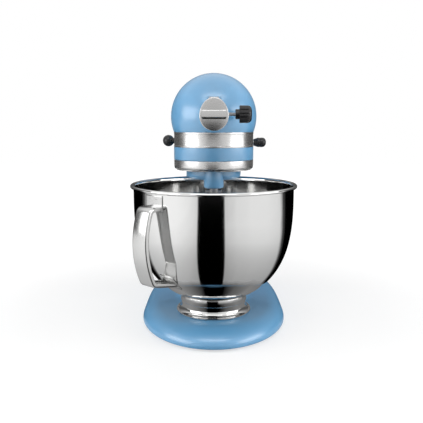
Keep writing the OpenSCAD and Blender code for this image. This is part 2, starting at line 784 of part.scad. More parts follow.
module thumbscrew_knob() {
    color(black) at_bowl() difference() {
        union() {
            along_x(thumb_face_x - thumb_collar_l, thumb_y, thumb_z)
                cylinder(r = thumb_collar_r, h = thumb_collar_l + 1);
            along_x(thumb_face_x, thumb_y, thumb_z) rotate_extrude() difference() {
                translate([0, 0]) square([thumb_knob_r, thumb_knob_l]);
                difference() {
                    translate([thumb_knob_r - 6, thumb_knob_l - 6]) square([7, 7]);
                    translate([thumb_knob_r - 6, thumb_knob_l - 6]) circle(6);
                }
            }
        }
        for (i = [0:11])
            translate([0, thumb_y, thumb_z]) rotate([i * 30, 0, 0])
                along_x(thumb_face_x - cut, 0, thumb_knob_r + 0.7)
                    cylinder(r = 1.5, h = thumb_knob_l + 2 * cut);
        along_x(0, thumb_y, thumb_z)
            cylinder(r = thumb_stem_r + slip, h = thumb_stem_x + thumb_stem_l + touch);
    }
}

// ---------------------------------------------------------------- Levers

module at_speed_pivot() {
    translate([speed_pivot_x, speed_pivot_y, speed_z]) rotate(180 - speed_half_turn) children();
}

lever_eye_r = 6;
lever_eye_t = 5;
lever_arm = [14, 6, 3.6];
stem_in_ball = 3;
module speed_lever() {
    color(steel) at_bowl() at_speed_pivot() difference() {
        union() {
            cylinder(r = lever_eye_r, h = lever_eye_t, center = true);
            translate([lever_arm[0] / 2, 0, 0]) cube(lever_arm, center = true);
            rotate([0, 90, 0]) cylinder(r = speed_stem_r, h = speed_lever_l - speed_ball_r + stem_in_ball);
        }
        cylinder(r = speed_stud_r + slip, h = 2 * lever_eye_t, center = true);
    }
}

module speed_knob() {
    color(black) at_bowl() at_speed_pivot() difference() {
        union() {
            translate([speed_lever_l, 0, 0]) sphere(speed_ball_r);
            translate([speed_lever_l - speed_ball_r - 1, 0, 0]) rotate([0, 90, 0])
                cylinder(r = speed_stem_r + 2, h = speed_ball_r);
        }
        rotate([0, 90, 0])
            cylinder(r = speed_stem_r + touch, h = speed_lever_l - speed_ball_r + stem_in_ball + 0.5);
    }
}

board_x = -44;
board_y = 100;
board_size = [2, 36, 22];
board_lift = 8;      // board's lower edge over the speed lever
board_part = [5, 6, 8];
module speed_board() {
    color([0.1, 0.35, 0.2]) at_bowl() translate([board_x, board_y, speed_z + board_lift]) {
        translate([-board_size[0], 0, 0]) cube(board_size);
        for (k = [1:3]) translate([touch, k * board_size[1] / 4 - board_part[1] / 2, 4]) cube(board_part);
    }
}

lock_plate_x = 57;
lock_plate_t = 3;
lock_knob_x = 62.8;
lock_knob_l = 19.5;
lock_knob_z = 255.7;
lock_plate_w = 8;
lock_stub_r = 3;
lock_stub_l = 5;     // how far the stub runs into the knob
module lock_lever() {
    color(steel) at_bowl() {
        along_x(hook_x + hook_w / 2, lock_y, lock_rod_z)
            cylinder(r = lock_rod_r, h = lock_plate_x - hook_x - hook_w / 2 + 1);
        translate([lock_plate_x, lock_y - lock_plate_w / 2, lock_knob_z - lock_plate_w / 2])
            cube([lock_plate_t, lock_plate_w, lock_rod_z - lock_knob_z + lock_plate_w]);
        along_x(lock_plate_x + 1, lock_y, lock_knob_z)
            cylinder(r = lock_stub_r, h = lock_knob_x - lock_plate_x + lock_stub_l);
    }
}

lock_neck_share = 0.62;
lock_neck_l = 5;
module lock_knob() {
    color(black) at_bowl() along_x(lock_knob_x, lock_y, lock_knob_z) difference() {
        union() {
            cylinder(r1 = lock_knob_r * lock_neck_share, r2 = lock_knob_r, h = lock_neck_l);
            translate([0, 0, lock_neck_l - 0.01])
                cylinder(r = lock_knob_r, h = lock_knob_l - lock_neck_l - lock_knob_r);
            translate([0, 0, lock_knob_l - lock_knob_r]) intersection() {
                sphere(lock_knob_r);
                translate([0, 0, -0.01]) cylinder(r = 2 * lock_knob_r, h = 2 * lock_knob_r);
            }
        }
        translate([0, 0, -cut]) cylinder(r = lock_stub_r + touch, h = lock_stub_l + 1 + cut);
    }
}

module lock_hook() {
    foot_z = keeper_top_z - keeper_wall - pocket_h + 2;
    color(steel) at_bowl() difference() {
        union() {
            translate([hook_x - hook_w / 2, lock_y - hook_arm / 2, foot_z])
                cube([hook_w - touch, hook_arm, lock_rod_z + 3.5 - foot_z]);
            translate([hook_x - hook_w / 2, lock_y, foot_z]) cube([hook_w - touch, hook_arm / 2 + 7, 4]);
        }
    }
}

// ---------------------------------------------------------------- Motor

motor_y = 96;
motor_l = 56;
shaft_front_y = 26;
shaft_rear_y = 194;
pole_share = 50;
module motor_field() {
    color([0.35, 0.35, 0.38]) at_bowl() along_y(motor_y, head_axis_z) difference() {
        cylinder(r = field_r, h = motor_l);
        translate([0, 0, -cut]) cylinder(r = armature_r + 1, h = motor_l + 2 * cut);
        for (s = [0, 180]) rotate(s + 90 - pole_share)
            rotate_extrude(angle = 2 * pole_share) translate([armature_r, -cut])
                square([field_r - 6 - armature_r, motor_l + 2 * cut]);
    }
}

module field_coils() {
    color([0.72, 0.4, 0.2]) at_bowl() along_y(motor_y - 5, head_axis_z) for (s = [0, 180])
        rotate(s + 90 - pole_share + 6) rotate_extrude(angle = 2 * pole_share - 12)
            translate([armature_r + 1.5, 0]) square([field_r - 7.5 - armature_r - 1, motor_l + 10]);
}

slots = 12;
module armature_core() {
    color([0.45, 0.45, 0.48]) at_bowl() along_y(motor_y + 1, head_axis_z) difference() {
        tube(armature_r, armature_shaft_r + touch, motor_l - 2);
        for (i = [0:slots - 1]) rotate(i * 360 / slots)
            translate([armature_r - 6, -1.5, -cut]) cube([8, 3, motor_l + 2 * cut]);
    }
}

module armature_windings() {
    color([0.75, 0.42, 0.2]) at_bowl() {
        along_y(motor_y - 7, head_axis_z) tube(armature_r - 4, armature_shaft_r + 3, 8 - touch);
        along_y(motor_y + motor_l - 1 + touch, head_axis_z) tube(armature_r - 4, armature_shaft_r + 3, 6);
        along_y(motor_y - 7 + 8 - 2 * touch, head_axis_z) for (i = [0:slots - 1]) rotate(i * 360 / slots)
            translate([armature_r - 6 + touch, -1.5 + touch, 0])
                cube([2, 3 - 2 * touch, motor_l - 2 + 4 * touch]);
    }
}

worm_bore_r = 3.4;
module armature_shaft() {
    color(steel) at_bowl() {
        along_y(shaft_front_y, head_axis_z)
            cylinder(r = worm_bore_r, h = worm_y + worm_l / 2 - shaft_front_y, $fn = 6);
        along_y(worm_y + worm_l / 2, head_axis_z)
            cylinder(r = armature_shaft_r, h = shaft_rear_y - worm_y - worm_l / 2);
    }
}

// Two-start worm: thread lobes turned along the axis
worm_starts = 2;
wheel_teeth = 24;
wheel_pitch_r = 19;
worm_pitch_r = 6;
worm_l = 20;
worm_lead = worm_starts * 2 * PI * wheel_pitch_r / wheel_teeth;
wheel_x = wheel_pitch_r + worm_pitch_r;
center_teeth = 48;
small_teeth = 12;
train_c = drive_module * (center_teeth + small_teeth) / 2;
wheel_y = sqrt(train_c * train_c - wheel_x * wheel_x);
worm_y = wheel_y;
wheel_t = 6;
worm_tip_r = worm_pitch_r + 1.4;
worm_root_r = worm_pitch_r - 1.4;
worm_twist = 360 * worm_l / worm_lead;
worm_pts = [for (s = [0:worm_starts - 1]) for (p = [
        [-35, 0], [-20, 1], [0, 1], [20, 1], [35, 0], [62, 0], [90, 0], [118, 0]
    ])
    let (a = s * 360 / worm_starts + p[0], r = worm_root_r + p[1] * (worm_tip_r - worm_root_r))
    r * [cos(a), sin(a)]];

module worm() {
    color(steel) at_bowl() along_y(worm_y - worm_l / 2, head_axis_z) difference() {
        rotate(worm_twist / 2) linear_extrude(worm_l, twist = worm_twist, slices = 40, $fn = 8)
            polygon(worm_pts);
        translate([0, 0, -cut]) cylinder(r = worm_bore_r + touch, h = worm_l + 2 * cut, $fn = 6);
    }
}

module commutator() {
    color([0.75, 0.45, 0.25]) at_bowl() along_y(brush_y - 7, head_axis_z)
        tube(11, armature_shaft_r + touch, 14);
}

fan_y = 78;
fan_l = 9;
fan_r = 28;
fan_hub_r = 9;
fan_sheet_t = 1.5;
fan_blades = 10;
module cooling_fan() {
    color(black) at_bowl() along_y(fan_y, head_axis_z) difference() {
        union() {
            cylinder(r = fan_hub_r, h = fan_l);
            translate([0, 0, fan_l - fan_sheet_t]) cylinder(r = fan_r, h = fan_sheet_t);
            for (i = [0:fan_blades - 1])
                rotate(i * 360 / fan_blades) translate([fan_hub_r - 1, -fan_sheet_t / 2, 0])
                    cube([fan_r - fan_hub_r + 0.5, fan_sheet_t, fan_l - 1]);
        }
        translate([0, 0, -cut]) cylinder(r = armature_shaft_r + touch, h = fan_l + 2 * cut);
    }
}

bearing_r = 9;
bracket_y = 62;
bracket_t = 4;
bracket_w = 68;
bracket_top_z = head_axis_z + 13;
rear_bearing_y = 184;
rear_arm_l = 80;
rear_arm_h = 14;
module motor_bearings() {
    color([0.7, 0.55, 0.3]) at_bowl() for (y = [bracket_y - 1, rear_bearing_y - 2])
        along_y(y, head_axis_z) tube(bearing_r, armature_shaft_r + slip, bracket_t + 4);
}

brush_from_x = 11;
brush_to_x = 26;
holder_from_x = 13;
holder_gap = 0.2;
brush_cap_l = 10;
brush_cap_x = head_radius(brush_y) - brush_cap_l;
holder_wide = [10, 8];
holder_hole = [7, 5];
brush_wide = [6.8, 4.8];
module brush_holders() {
    color([0.7, 0.6, 0.35]) at_bowl() for (s = [-1, 1])
        translate([s * (holder_from_x + brush_cap_x - holder_gap) / 2, brush_y, head_axis_z]) difference() {
            cube([brush_cap_x - holder_gap - holder_from_x, holder_wide[0], holder_wide[1]], center = true);
            cube([brush_cap_x, holder_hole[0], holder_hole[1]], center = true);
        }
}

module carbon_brushes() {
    color([0.15, 0.15, 0.16]) at_bowl() for (s = [-1, 1])
        translate([s * (brush_from_x + slip + brush_to_x) / 2, brush_y, head_axis_z])
            cube([brush_to_x - brush_from_x - slip, brush_wide[0], brush_wide[1]], center = true);
}

spring_end_gap = 0.3;
spring_turns = 5;
spring_r = 1.8;
spring_wire_r = 0.5;
spring_l = brush_cap_x - brush_to_x - 2 * spring_end_gap;
module brush_springs() {
    color(steel) at_bowl() for (s = [-1, 1])
        along_x(s > 0 ? brush_to_x + spring_end_gap : -brush_cap_x + spring_end_gap, brush_y, head_axis_z)
            linear_extrude(spring_l, twist = spring_turns * 360, slices = 50, $fn = 6)
                translate([spring_r, 0]) circle(spring_wire_r, $fn = 6);
}

cap_slot_w = 2;
cap_slot_depth = 1.5;
module brush_caps() {
    color(black) at_bowl() for (s = [-1, 1])
        along_x(s > 0 ? brush_cap_x : -brush_cap_x - brush_cap_l, brush_y, head_axis_z) difference() {
            cylinder(r = brush_cap_r, h = brush_cap_l);
            translate([-cap_slot_w / 2, -brush_cap_r, s > 0 ? brush_cap_l - cap_slot_depth : -cut])
                cube([cap_slot_w, 2 * brush_cap_r, cap_slot_depth + cut]);
        }
}

rear_tab_w = 16;    // tab that the cover's screw holds

module rear_bracket() {
    color([0.6, 0.6, 0.62]) at_bowl() difference() {
        union() {
            along_y(rear_bearing_y, head_axis_z) cylinder(r = bearing_r + 4, h = bracket_t);
            slab(rear_arm_l, rear_bearing_y, rear_bearing_y + bracket_t, head_axis_z - rear_arm_h / 2,
                head_axis_z + rear_arm_h / 2);
            slab(rear_tab_w, rear_bearing_y, rear_bearing_y + bracket_t, head_axis_z,
                cover_screw_z + rear_arm_h / 2);
        }
        along_y(rear_bearing_y - cut, cover_screw_z)
            cylinder(r = case_screw_r + touch, h = bracket_t + 2 * cut);
        along_y(rear_bearing_y - cut, head_axis_z) cylinder(r = bearing_r + touch, h = bracket_t + 2 * cut);
    }
}

// ---------------------------------------------------------------- Gear train

ring_teeth = 47;
pinion_teeth = 14;
hub_teeth = 24;
crown_teeth = 40;
crown_r = 30;
crown_l = 4;
crown_gap = 1.3;
center_bore_h = 40;         // cutting height of the gear's bore
center_z = case_bottom_z + 25;
center_t = 8;
center_hex_r = 8;
center_top_r = 5;
hub_pitch_r = hub_teeth * drive_module / 2;
wheel_angle = atan2(wheel_y, wheel_x);
wheel_shaft_r = 4;
wheel_square = 6;
beater_y = -(ring_teeth - pinion_teeth) * planet_module / 2;
ring_gear_r = ring_teeth * planet_module / 2 + 6.6;
bore_gap = 0.02;

module flat_gear(teeth, mod, add, ded, turn) {
    r = teeth * mod / 2;
    polygon(gear_pts(teeth, r - ded * mod, r + add * mod, 0.5, 0.2, turn));
}

module ring_gear() {
    r = ring_teeth * planet_module / 2;
    color(steel) at_bowl() translate([0, 0, case_bottom_z])
        linear_extrude(ring_pocket_rise - touch) difference() {
            polygon(ring_pts(ring_gear_r - touch, 60));
            polygon(gear_pts(ring_teeth, r - 0.8 * planet_module, r + 1.15 * planet_module, 0.78, 0.46,
                -90));
        }
}

module planet_pinion() {
    color(steel) at_bowl() translate([0, beater_y, case_bottom_z + 0.5])
        linear_extrude(ring_pocket_rise - 2) difference() {
            flat_gear(pinion_teeth, planet_module, 0.85, 1.2, -90);
            circle(r = beater_shaft_r - 1 + bore_gap, $fn = 6);
        }
}

module center_gear() {
    root = hub_pitch_r + drive_module * 1.25;
    tip_z = head_axis_z - hub_pitch_r + crown_gap;
    root_z = head_axis_z - root;
    color(steel) at_bowl() difference() {
        union() {
            translate([0, 0, center_z]) linear_extrude(center_t)
                flat_gear(center_teeth, drive_module, 0.8, 1.2, wheel_angle + 180 / center_teeth);
            translate([0, 0, center_z + center_t - 0.5]) linear_extrude(root_z - center_z - center_t + 0.5)
                polygon(ring_pts(crown_r + crown_l / 2 + 1, 48));
            for (i = [0:crown_teeth - 1])
                rotate(i * 360 / crown_teeth - 90) translate([crown_r + crown_l / 2, 0, root_z - 0.2])
                    rotate([90, 0, -90]) linear_extrude(crown_l) polygon([
                        [-1.25, 0], [-0.5, tip_z - root_z + 0.2], [0.5, tip_z - root_z + 0.2], [1.25, 0]
                    ]);
        }
        translate([0, 0, center_z - cut]) cylinder(r = center_hex_r + bore_gap, h = center_bore_h, $fn = 6);
        translate([0, 0, center_z + center_t]) linear_extrude(center_bore_h)
            polygon(ring_pts(crown_r - crown_l / 2 - 2, 48));
    }
}

module planetary_shaft() {
    color(steel) at_bowl() difference() {
        union() {
            translate([0, 0, planetary_z + 4]) cylinder(r = planet_shaft_r, h = center_z - planetary_z - 4);
            translate([0, 0, center_z]) cylinder(r = center_hex_r, h = center_t, $fn = 6);
            translate([0, 0, center_z + center_t])
                cylinder(r = center_top_r, h = bracket_top_z - center_z - center_t - 1);
        }
        along_x(-20, 0, planetary_pin_z) cylinder(r = planetary_pin_r + touch, h = 40);
    }
}

module shaft_bushes() {
    color([0.7, 0.55, 0.3]) at_bowl() {
        translate([0, 0, ring_pocket_z + touch])
            tube(planet_shaft_r + slip + bush_wall, planet_shaft_r + slip,
                front_floor_z + center_boss_h - ring_pocket_z - 1);
        translate([wheel_x, wheel_y, front_floor_z - 3 + touch])
            tube(wheel_shaft_r + slip + bush_wall, wheel_shaft_r + slip, 10);
        translate([0, 0, bracket_top_z - bracket_t])
            tube(center_top_r + slip + bush_wall, center_top_r + slip, bracket_t);
        translate([wheel_x, wheel_y, bracket_top_z - bracket_t])
            tube(wheel_shaft_r + slip + bush_wall, wheel_shaft_r + slip, bracket_t);
    }
}

module gear_bracket() {
    color([0.6, 0.6, 0.62]) at_bowl() difference() {
        union() {
            translate([-16, -12, bracket_top_z - bracket_t]) cube([wheel_x + 28, bracket_y + 12, bracket_t]);
            slab(bracket_w, bracket_y, bracket_y + bracket_t, rear_floor_top_z, bracket_top_z);
        }
        along_y(bracket_y - cut, head_axis_z) cylinder(r = bearing_r + touch, h = bracket_t + 2 * cut);
        translate([0, 0, bracket_top_z - 2 * bracket_t])
            cylinder(r = center_top_r + slip + bush_wall + touch, h = 3 * bracket_t);
        translate([wheel_x, wheel_y, bracket_top_z - 2 * bracket_t])
            cylinder(r = wheel_shaft_r + slip + bush_wall + touch, h = 3 * bracket_t);
        slab(2 * field_r - 10, bracket_y - cut, bracket_y + bracket_t + cut,
            rear_floor_top_z - cut, center_z + 14);
    }
}

module worm_wheel() {
    lead_twist = wheel_t * worm_lead / (2 * PI * worm_pitch_r) / wheel_pitch_r * 180 / PI;
    color([0.72, 0.6, 0.3]) at_bowl() translate([wheel_x, wheel_y, head_axis_z - wheel_t / 2]) difference() {
        rotate(lead_twist / 2) linear_extrude(wheel_t, twist = lead_twist, slices = 3, $fn = 8)
            polygon(gear_pts(wheel_teeth, wheel_pitch_r - 1.8, wheel_pitch_r + 1.1, 0.46, 0.24,
                180 + 180 / wheel_teeth));
        translate([-wheel_square / 2 - bore_gap, -wheel_square / 2 - bore_gap, -cut])
            cube([wheel_square + 2 * bore_gap, wheel_square + 2 * bore_gap, wheel_t + 2 * cut]);
    }
}

module worm_wheel_shaft() {
    color(steel) at_bowl() translate([wheel_x, wheel_y, 0]) {
        translate([0, 0, front_floor_z - 2]) cylinder(r = wheel_shaft_r, h = center_z - front_floor_z + 1);
        translate([-wheel_square / 2, -wheel_square / 2, center_z - 1])
            cube([wheel_square, wheel_square, head_axis_z + wheel_t / 2 + 1 - center_z]);
        translate([0, 0, head_axis_z + wheel_t / 2])
            cylinder(r = wheel_shaft_r, h = bracket_top_z - head_axis_z - wheel_t / 2 - 0.5);
    }
}

module wheel_pinion() {
    color(steel) at_bowl() translate([wheel_x, wheel_y, center_z]) linear_extrude(center_t) difference() {
        flat_gear(small_teeth, drive_module, 0.8, 1.2, wheel_angle + 180);
        square(wheel_square + 2 * bore_gap, center = true);
    }
}

hub_gear_y = -crown_r;
hub_shaft_end_y = -hub_reach + hub_bore_l + 1;
module hub_gear() {
    color(steel) at_bowl() along_y(hub_gear_y - crown_l / 2, head_axis_z)
        linear_extrude(crown_l) difference() {
            flat_gear(hub_teeth, drive_module, 0.8, 1.2, 180 / hub_teeth);
            square(hub_square + 2 * bore_gap, center = true);
        }
}

module hub_shaft() {
    color(steel) at_bowl() difference() {
        union() {
            along_y(hub_gear_y - crown_l / 2 - 1, head_axis_z)
                translate([-hub_square / 2, -hub_square / 2, 0])
                cube([hub_square, hub_square, crown_l + 3]);
            along_y(hub_shaft_end_y, head_axis_z)
                cylinder(r = hub_shaft_r, h = hub_gear_y - crown_l / 2 - 1 - hub_shaft_end_y);
        }
        along_y(hub_shaft_end_y - cut, head_axis_z) translate([-hub_square / 2, -hub_square / 2, 0])
            cube([hub_square, hub_square, 14 + cut]);
    }
}

planetary_top_z = case_bottom_z - 3;
planetary_pin_r = 2.5;
planetary_pin_z = planetary_z + 11;
planetary_edge_r = 5;
beater_boss_r = 13;
beater_boss_drop = 10.3;
module planetary() {
    color(paint) at_bowl() difference() {
        union() {
            translate([0, 0, planetary_z]) rotate_extrude() union() {
                square([planetary_r - planetary_edge_r, planetary_top_z - planetary_z]);
                translate([0, planetary_edge_r])
                    square([planetary_r, planetary_top_z - planetary_z - planetary_edge_r]);
                translate([planetary_r - planetary_edge_r, planetary_edge_r]) circle(planetary_edge_r);
            }
            translate([0, beater_y, planetary_z - beater_boss_drop])
                cylinder(r = beater_boss_r, h = planetary_top_z - planetary_z + beater_boss_drop - 6);
        }
        translate([0, 0, planetary_z + 4 - touch]) cylinder(r = planet_shaft_r + touch, h = 60);
        translate([0, beater_y, 0]) cylinder(r = beater_shaft_r + slip, h = 300);
        along_x(-planetary_r - cut, 0, planetary_pin_z)
            cylinder(r = planetary_pin_r + touch, h = planetary_r + 15);
    }
}

module planetary_pin() {
    color(steel) at_bowl() along_x(-planetary_r + 3, 0, planetary_pin_z)
        cylinder(r = planetary_pin_r, h = planetary_r + 10);
}

beater_pin_z = beater_end_z + 16;
beater_pin_r = 1.8;
beater_pin_l = 22;
beater_collar_z = beater_pin_z - beater_pin_r - 0.4;    // the shaft's lower end that takes the beater
beater_neck_r = beater_shaft_r - 0.6;
beater_boss_z = planetary_z - beater_boss_drop + 0.5;
module beater_shaft() {
    color(steel) at_bowl() translate([0, beater_y, 0]) difference() {
        union() {
            translate([0, 0, beater_end_z + 2])
                cylinder(r = beater_shaft_r, h = beater_collar_z - beater_end_z - 2);
            translate([0, 0, beater_end_z + 2])
                cylinder(r = beater_neck_r, h = case_bottom_z - beater_end_z - 2);
            translate([0, 0, beater_boss_z])
                cylinder(r = beater_shaft_r, h = case_bottom_z - beater_boss_z);
            translate([0, 0, beater_end_z]) cylinder(r1 = beater_shaft_r - 2, r2 = beater_shaft_r, h = 2);
            translate([0, 0, case_bottom_z])
                cylinder(r = beater_shaft_r - 1, h = ring_pocket_rise - 1, $fn = 6);
        }
        along_x(-20, 0, beater_pin_z) cylinder(r = beater_pin_r + touch, h = 40);
    }
}

module beater_pin() {
    color(steel) at_bowl() along_x(-beater_pin_l / 2, beater_y, beater_pin_z)
        cylinder(r = beater_pin_r, h = beater_pin_l);
}

// ---------------------------------------------------------------- Bowl

bowl_steps = 26;
foot_z = base_top_z + seat_gap;

// Half outline of the rounded part, from the shoulder down to the axis
function bowl_side(grow) = [for (k = [0:bowl_steps]) bowl_outer(sin(90 * k / bowl_steps), grow)];
function backwards(points) = [for (i = [len(points) - 1:-1:0]) points[i]];

// Solid of the bowl's outer shape, grown by this much
module bowl_solid(grow) {
    rotate_extrude($fn = 96) polygon(concat([[0, rim_z], [bowl_r + grow, rim_z]], bowl_side(grow)));
}

module bowl() {
    color(steel) at_bowl() {
        rotate_extrude($fn = 96) polygon(concat(
            [[bowl_r, rim_z]], bowl_side(0),
            backwards(bowl_side(-bowl_wall)), [[bowl_r - bowl_wall, rim_z]]));
        rotate_extrude($fn = 96) translate([rim_roll_c, rim_z]) circle(rim_roll_r, $fn = 32);
    }
}

foot_flange_h = 9.5;
foot_curve_r = 8.1;
foot_band_z = 15.5;
foot_band_t = 1.2;
module bowl_foot() {
    w = foot_flange_r - foot_neck_r;
    color(steel) at_bowl() {
        difference() {
            rotate_extrude($fn = 96) {
                translate([foot_neck_r - foot_sheet_t, foot_z]) square([foot_sheet_t, 30]);
                translate([foot_neck_r, foot_z]) difference() {
                    square([w, foot_flange_h]);
                    translate([w + 0.8, foot_flange_h + 0.8]) circle(foot_curve_r);
                }
                translate([foot_neck_r - 0.5, foot_z + foot_band_z]) square([foot_band_t + 0.5, 20]);
            }
            bowl_solid(touch);
        }
        for (i = [0:2]) rotate(i * 120) intersection() {
            translate([tab_inner_r, -tab_w / 2, foot_z + 1]) cube([tab_reach + foot_sheet_t, tab_w, 2.2]);
            translate([0, 0, foot_z]) cylinder(r = foot_neck_r - 0.4, h = 10);
        }
    }
}

// Handle strap in the plane through the bowl's axis: [distance from the axis, height]
strap_arm_r = 9;
strap_bow_r = 120;
strap_bow_drop = 51;
strap_top_angle = 20;
strap_low_angle = 24;
strap_flange = 5.5;
bracket_h = 16;
bracket_sheet_t = 1.5;
bracket_side = 1.5;
low_bracket_drop = 107;
strap_center = [handle_face_r - strap_bow_r, shoulder_z - strap_bow_drop];
function strap_bow(a) = strap_center + strap_bow_r * [cos(a), sin(a)];
function corner(c, r, a0, a1, n) =
    [for (k = [0:n]) let (a = a0 + (a1 - a0) * k / n) c + r * [cos(a), sin(a)]];
strap_top_corner = strap_bow(strap_top_angle) - strap_arm_r * [cos(strap_top_angle), sin(strap_top_angle)];
strap_low_corner = strap_bow(-strap_low_angle) - strap_arm_r * [cos(strap_low_angle), -sin(strap_low_angle)];
strap_top_z = strap_top_corner[1] + strap_arm_r;
low_seat = bowl_outer(low_bracket_drop / bowl_depth);
strap_path = concat(
    [[bowl_r, strap_top_z]],
    corner(strap_top_corner, strap_arm_r, 90, strap_top_angle, 5),
    [for (k = [1:8]) strap_bow(strap_top_angle - k * (strap_top_angle + strap_low_angle) / 9)],
    corner(strap_low_corner, strap_arm_r, -strap_low_angle, -80, 5),
    [low_seat - [3, 5]]
);

module strap_prism(t, y0, w) {
    translate([0, y0 + w, 0]) rotate([90, 0, 0]) linear_extrude(w) polygon(strip_pts(strap_path, -t));
}

module bowl_handle() {
    color(steel) at_bowl() rotate(-90 - handle_angle) difference() {
        union() {
            strap_prism(handle_t, -handle_w / 2, handle_w);
            strap_prism(strap_flange, -handle_w / 2, handle_t);
            strap_prism(strap_flange, handle_w / 2 - handle_t, handle_t);
            intersection() {
                bowl_solid(touch + bracket_sheet_t);
                union() {
                    translate([bowl_r / 2, -handle_w / 2 - bracket_side, strap_top_z - strap_flange - 2])
                        cube([bowl_r, handle_w + 2 * bracket_side, bracket_h + strap_flange]);
                    translate([bowl_r / 2, -handle_w / 2 - bracket_side, low_seat[1] - bracket_h / 2])
                        cube([bowl_r, handle_w + 2 * bracket_side, bracket_h]);
                }
            }
        }
        bowl_solid(touch);
    }
}

// ---------------------------------------------------------------- Drawing

base_foot();
rubber_feet();
clamp_plate();
clamp_plate_screws();
column();
column_screws();
hinge_pin();
hinge_set_screw();
height_screw();
upper_housing();
lower_gearcase();
trim_band();
rear_cover();
rear_cover_screw();
housing_screws();
drip_ring();
cord_inlet();
hub_socket();
hub_cover();
hub_cover_pin();
thumbscrew_stem();
thumbscrew_knob();
speed_lever();
speed_knob();
speed_board();
lock_lever();
lock_knob();
lock_hook();
motor_field();
field_coils();
armature_core();
armature_windings();
armature_shaft();
worm();
commutator();
cooling_fan();
motor_bearings();
brush_holders();
carbon_brushes();
brush_springs();
brush_caps();
gear_bracket();
rear_bracket();
shaft_bushes();
worm_wheel();
worm_wheel_shaft();
wheel_pinion();
center_gear();
planetary_shaft();
hub_gear();
hub_shaft();
ring_gear();
planetary();
planetary_pin();
planet_pinion();
beater_shaft();
beater_pin();
bowl();
bowl_foot();
bowl_handle();
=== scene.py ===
# %% [markdown]
# A tilt-head stand mixer, dressed in Blender around its imported CAD model.
# Every CAD part comes in already placed, in metres, and each piece made here rides on a body.
# A part whose shape is plain keeps its CAD mesh and only gets a better finish.
# A part that the eye rests on is made again here as a smooth surface worked out with numpy.

import bmesh
import bpy
import numpy as np
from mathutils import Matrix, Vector
from numpy import cos, pi, sin


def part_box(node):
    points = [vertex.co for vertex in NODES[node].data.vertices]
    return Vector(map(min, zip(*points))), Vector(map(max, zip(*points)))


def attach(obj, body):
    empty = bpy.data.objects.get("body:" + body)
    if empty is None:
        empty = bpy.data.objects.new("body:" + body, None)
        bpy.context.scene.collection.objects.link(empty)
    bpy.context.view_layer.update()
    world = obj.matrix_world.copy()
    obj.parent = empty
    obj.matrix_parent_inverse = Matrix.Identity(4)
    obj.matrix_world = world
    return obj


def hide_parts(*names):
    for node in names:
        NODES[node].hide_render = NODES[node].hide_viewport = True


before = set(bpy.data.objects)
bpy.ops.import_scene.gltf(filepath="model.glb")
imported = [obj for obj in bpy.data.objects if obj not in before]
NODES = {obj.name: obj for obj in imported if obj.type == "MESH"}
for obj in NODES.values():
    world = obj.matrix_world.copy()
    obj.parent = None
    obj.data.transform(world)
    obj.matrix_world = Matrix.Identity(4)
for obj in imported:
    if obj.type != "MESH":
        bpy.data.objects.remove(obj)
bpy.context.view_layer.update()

# %% [markdown]
# Two places on the machine fix all the rest: the bowl's axis, and the level axis of the round head.
# Both are read from the boxes of CAD parts that are centred on them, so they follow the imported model.
# The mixer is drawn in millimetres, and each mesh is turned into metres; the studio is set up in metres.

# %% Bowl axis and head axis
MM = 0.001


def node_box(node):
    """Lowest and highest corner of a CAD node at rest, as numpy rows in millimetres."""
    return np.array([list(corner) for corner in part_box(node)], dtype=float) / MM


BOWL_Y = node_box("bowl")[:, 1].mean()
HEAD_Z = node_box("commutator")[:, 2].mean()
print("bowl axis y:", round(BOWL_Y, 2), "head axis z:", round(HEAD_Z, 2))

# %% [markdown]
# The camera looks at the mixer from straight in front and a little above, from less than a metre away.
# At that distance the bowl's rim opens into an ellipse and the base spreads below it.
# The lens comes from a focal length in picture widths, so it doesn't depend on the render's size.

# %% Camera
SENSOR_MM = 36.0
PICTURE_PX = 423
FOCAL_PX = 560.0
CAMERA_BACK = 0.768
CAMERA_HEIGHT = 0.286
CAMERA_SIDE = -0.003
CAMERA_PITCH = np.radians(9.0)


def add_object(name, data):
    """A new object in the scene around a mesh, a lamp or a camera."""
    made = bpy.data.objects.new(name, data)
    bpy.context.scene.collection.objects.link(made)
    return made


camera = add_object("camera", bpy.data.cameras.new("camera"))
camera.data.sensor_width = SENSOR_MM
camera.data.lens = SENSOR_MM * FOCAL_PX / PICTURE_PX
camera.location = (CAMERA_SIDE, BOWL_Y * MM - CAMERA_BACK, CAMERA_HEIGHT)
camera.rotation_euler = (pi / 2 - CAMERA_PITCH, 0, 0)
bpy.context.scene.camera = camera
bpy.context.scene.view_settings.view_transform = "Standard"
print("lens mm:", round(camera.data.lens, 2))

# %% [markdown]
# A material is a small network of nodes, and two helpers write it down in a few lines.
# An input that is given another node's output gets a link, and any other input gets a plain value.

# %% Shader nodes
WHITE = (1, 1, 1, 1)


def wire(tree, node, inputs):
    """Sets the inputs of a node: the output of another node is linked, and anything else is a value."""
    for name, value in inputs.items():
        if isinstance(value, bpy.types.NodeSocket):
            tree.links.new(value, node.inputs[name])
        else:
            node.inputs[name].default_value = value


def shader_node(tree, kind, inputs=(), **properties):
    """A new shader node with its properties and its inputs set."""
    node = tree.nodes.new("ShaderNode" + kind)
    for name, value in properties.items():
        setattr(node, name, value)
    wire(tree, node, dict(inputs))
    return node


def new_material(name, constants):
    """A material: returned with its node tree and its Principled shader, whose constants are set."""
    material = bpy.data.materials.new(name)
    material.use_nodes = True
    shader = material.node_tree.nodes["Principled BSDF"]
    wire(material.node_tree, shader, constants)
    return material, material.node_tree, shader


def mix_shaders(tree, share, first, second):
    """Sends a mix of two shaders to the material's surface."""
    mix = shader_node(tree, "MixShader", {0: share, 1: first, 2: second})
    wire(tree, tree.nodes["Material Output"], {"Surface": mix.outputs["Shader"]})


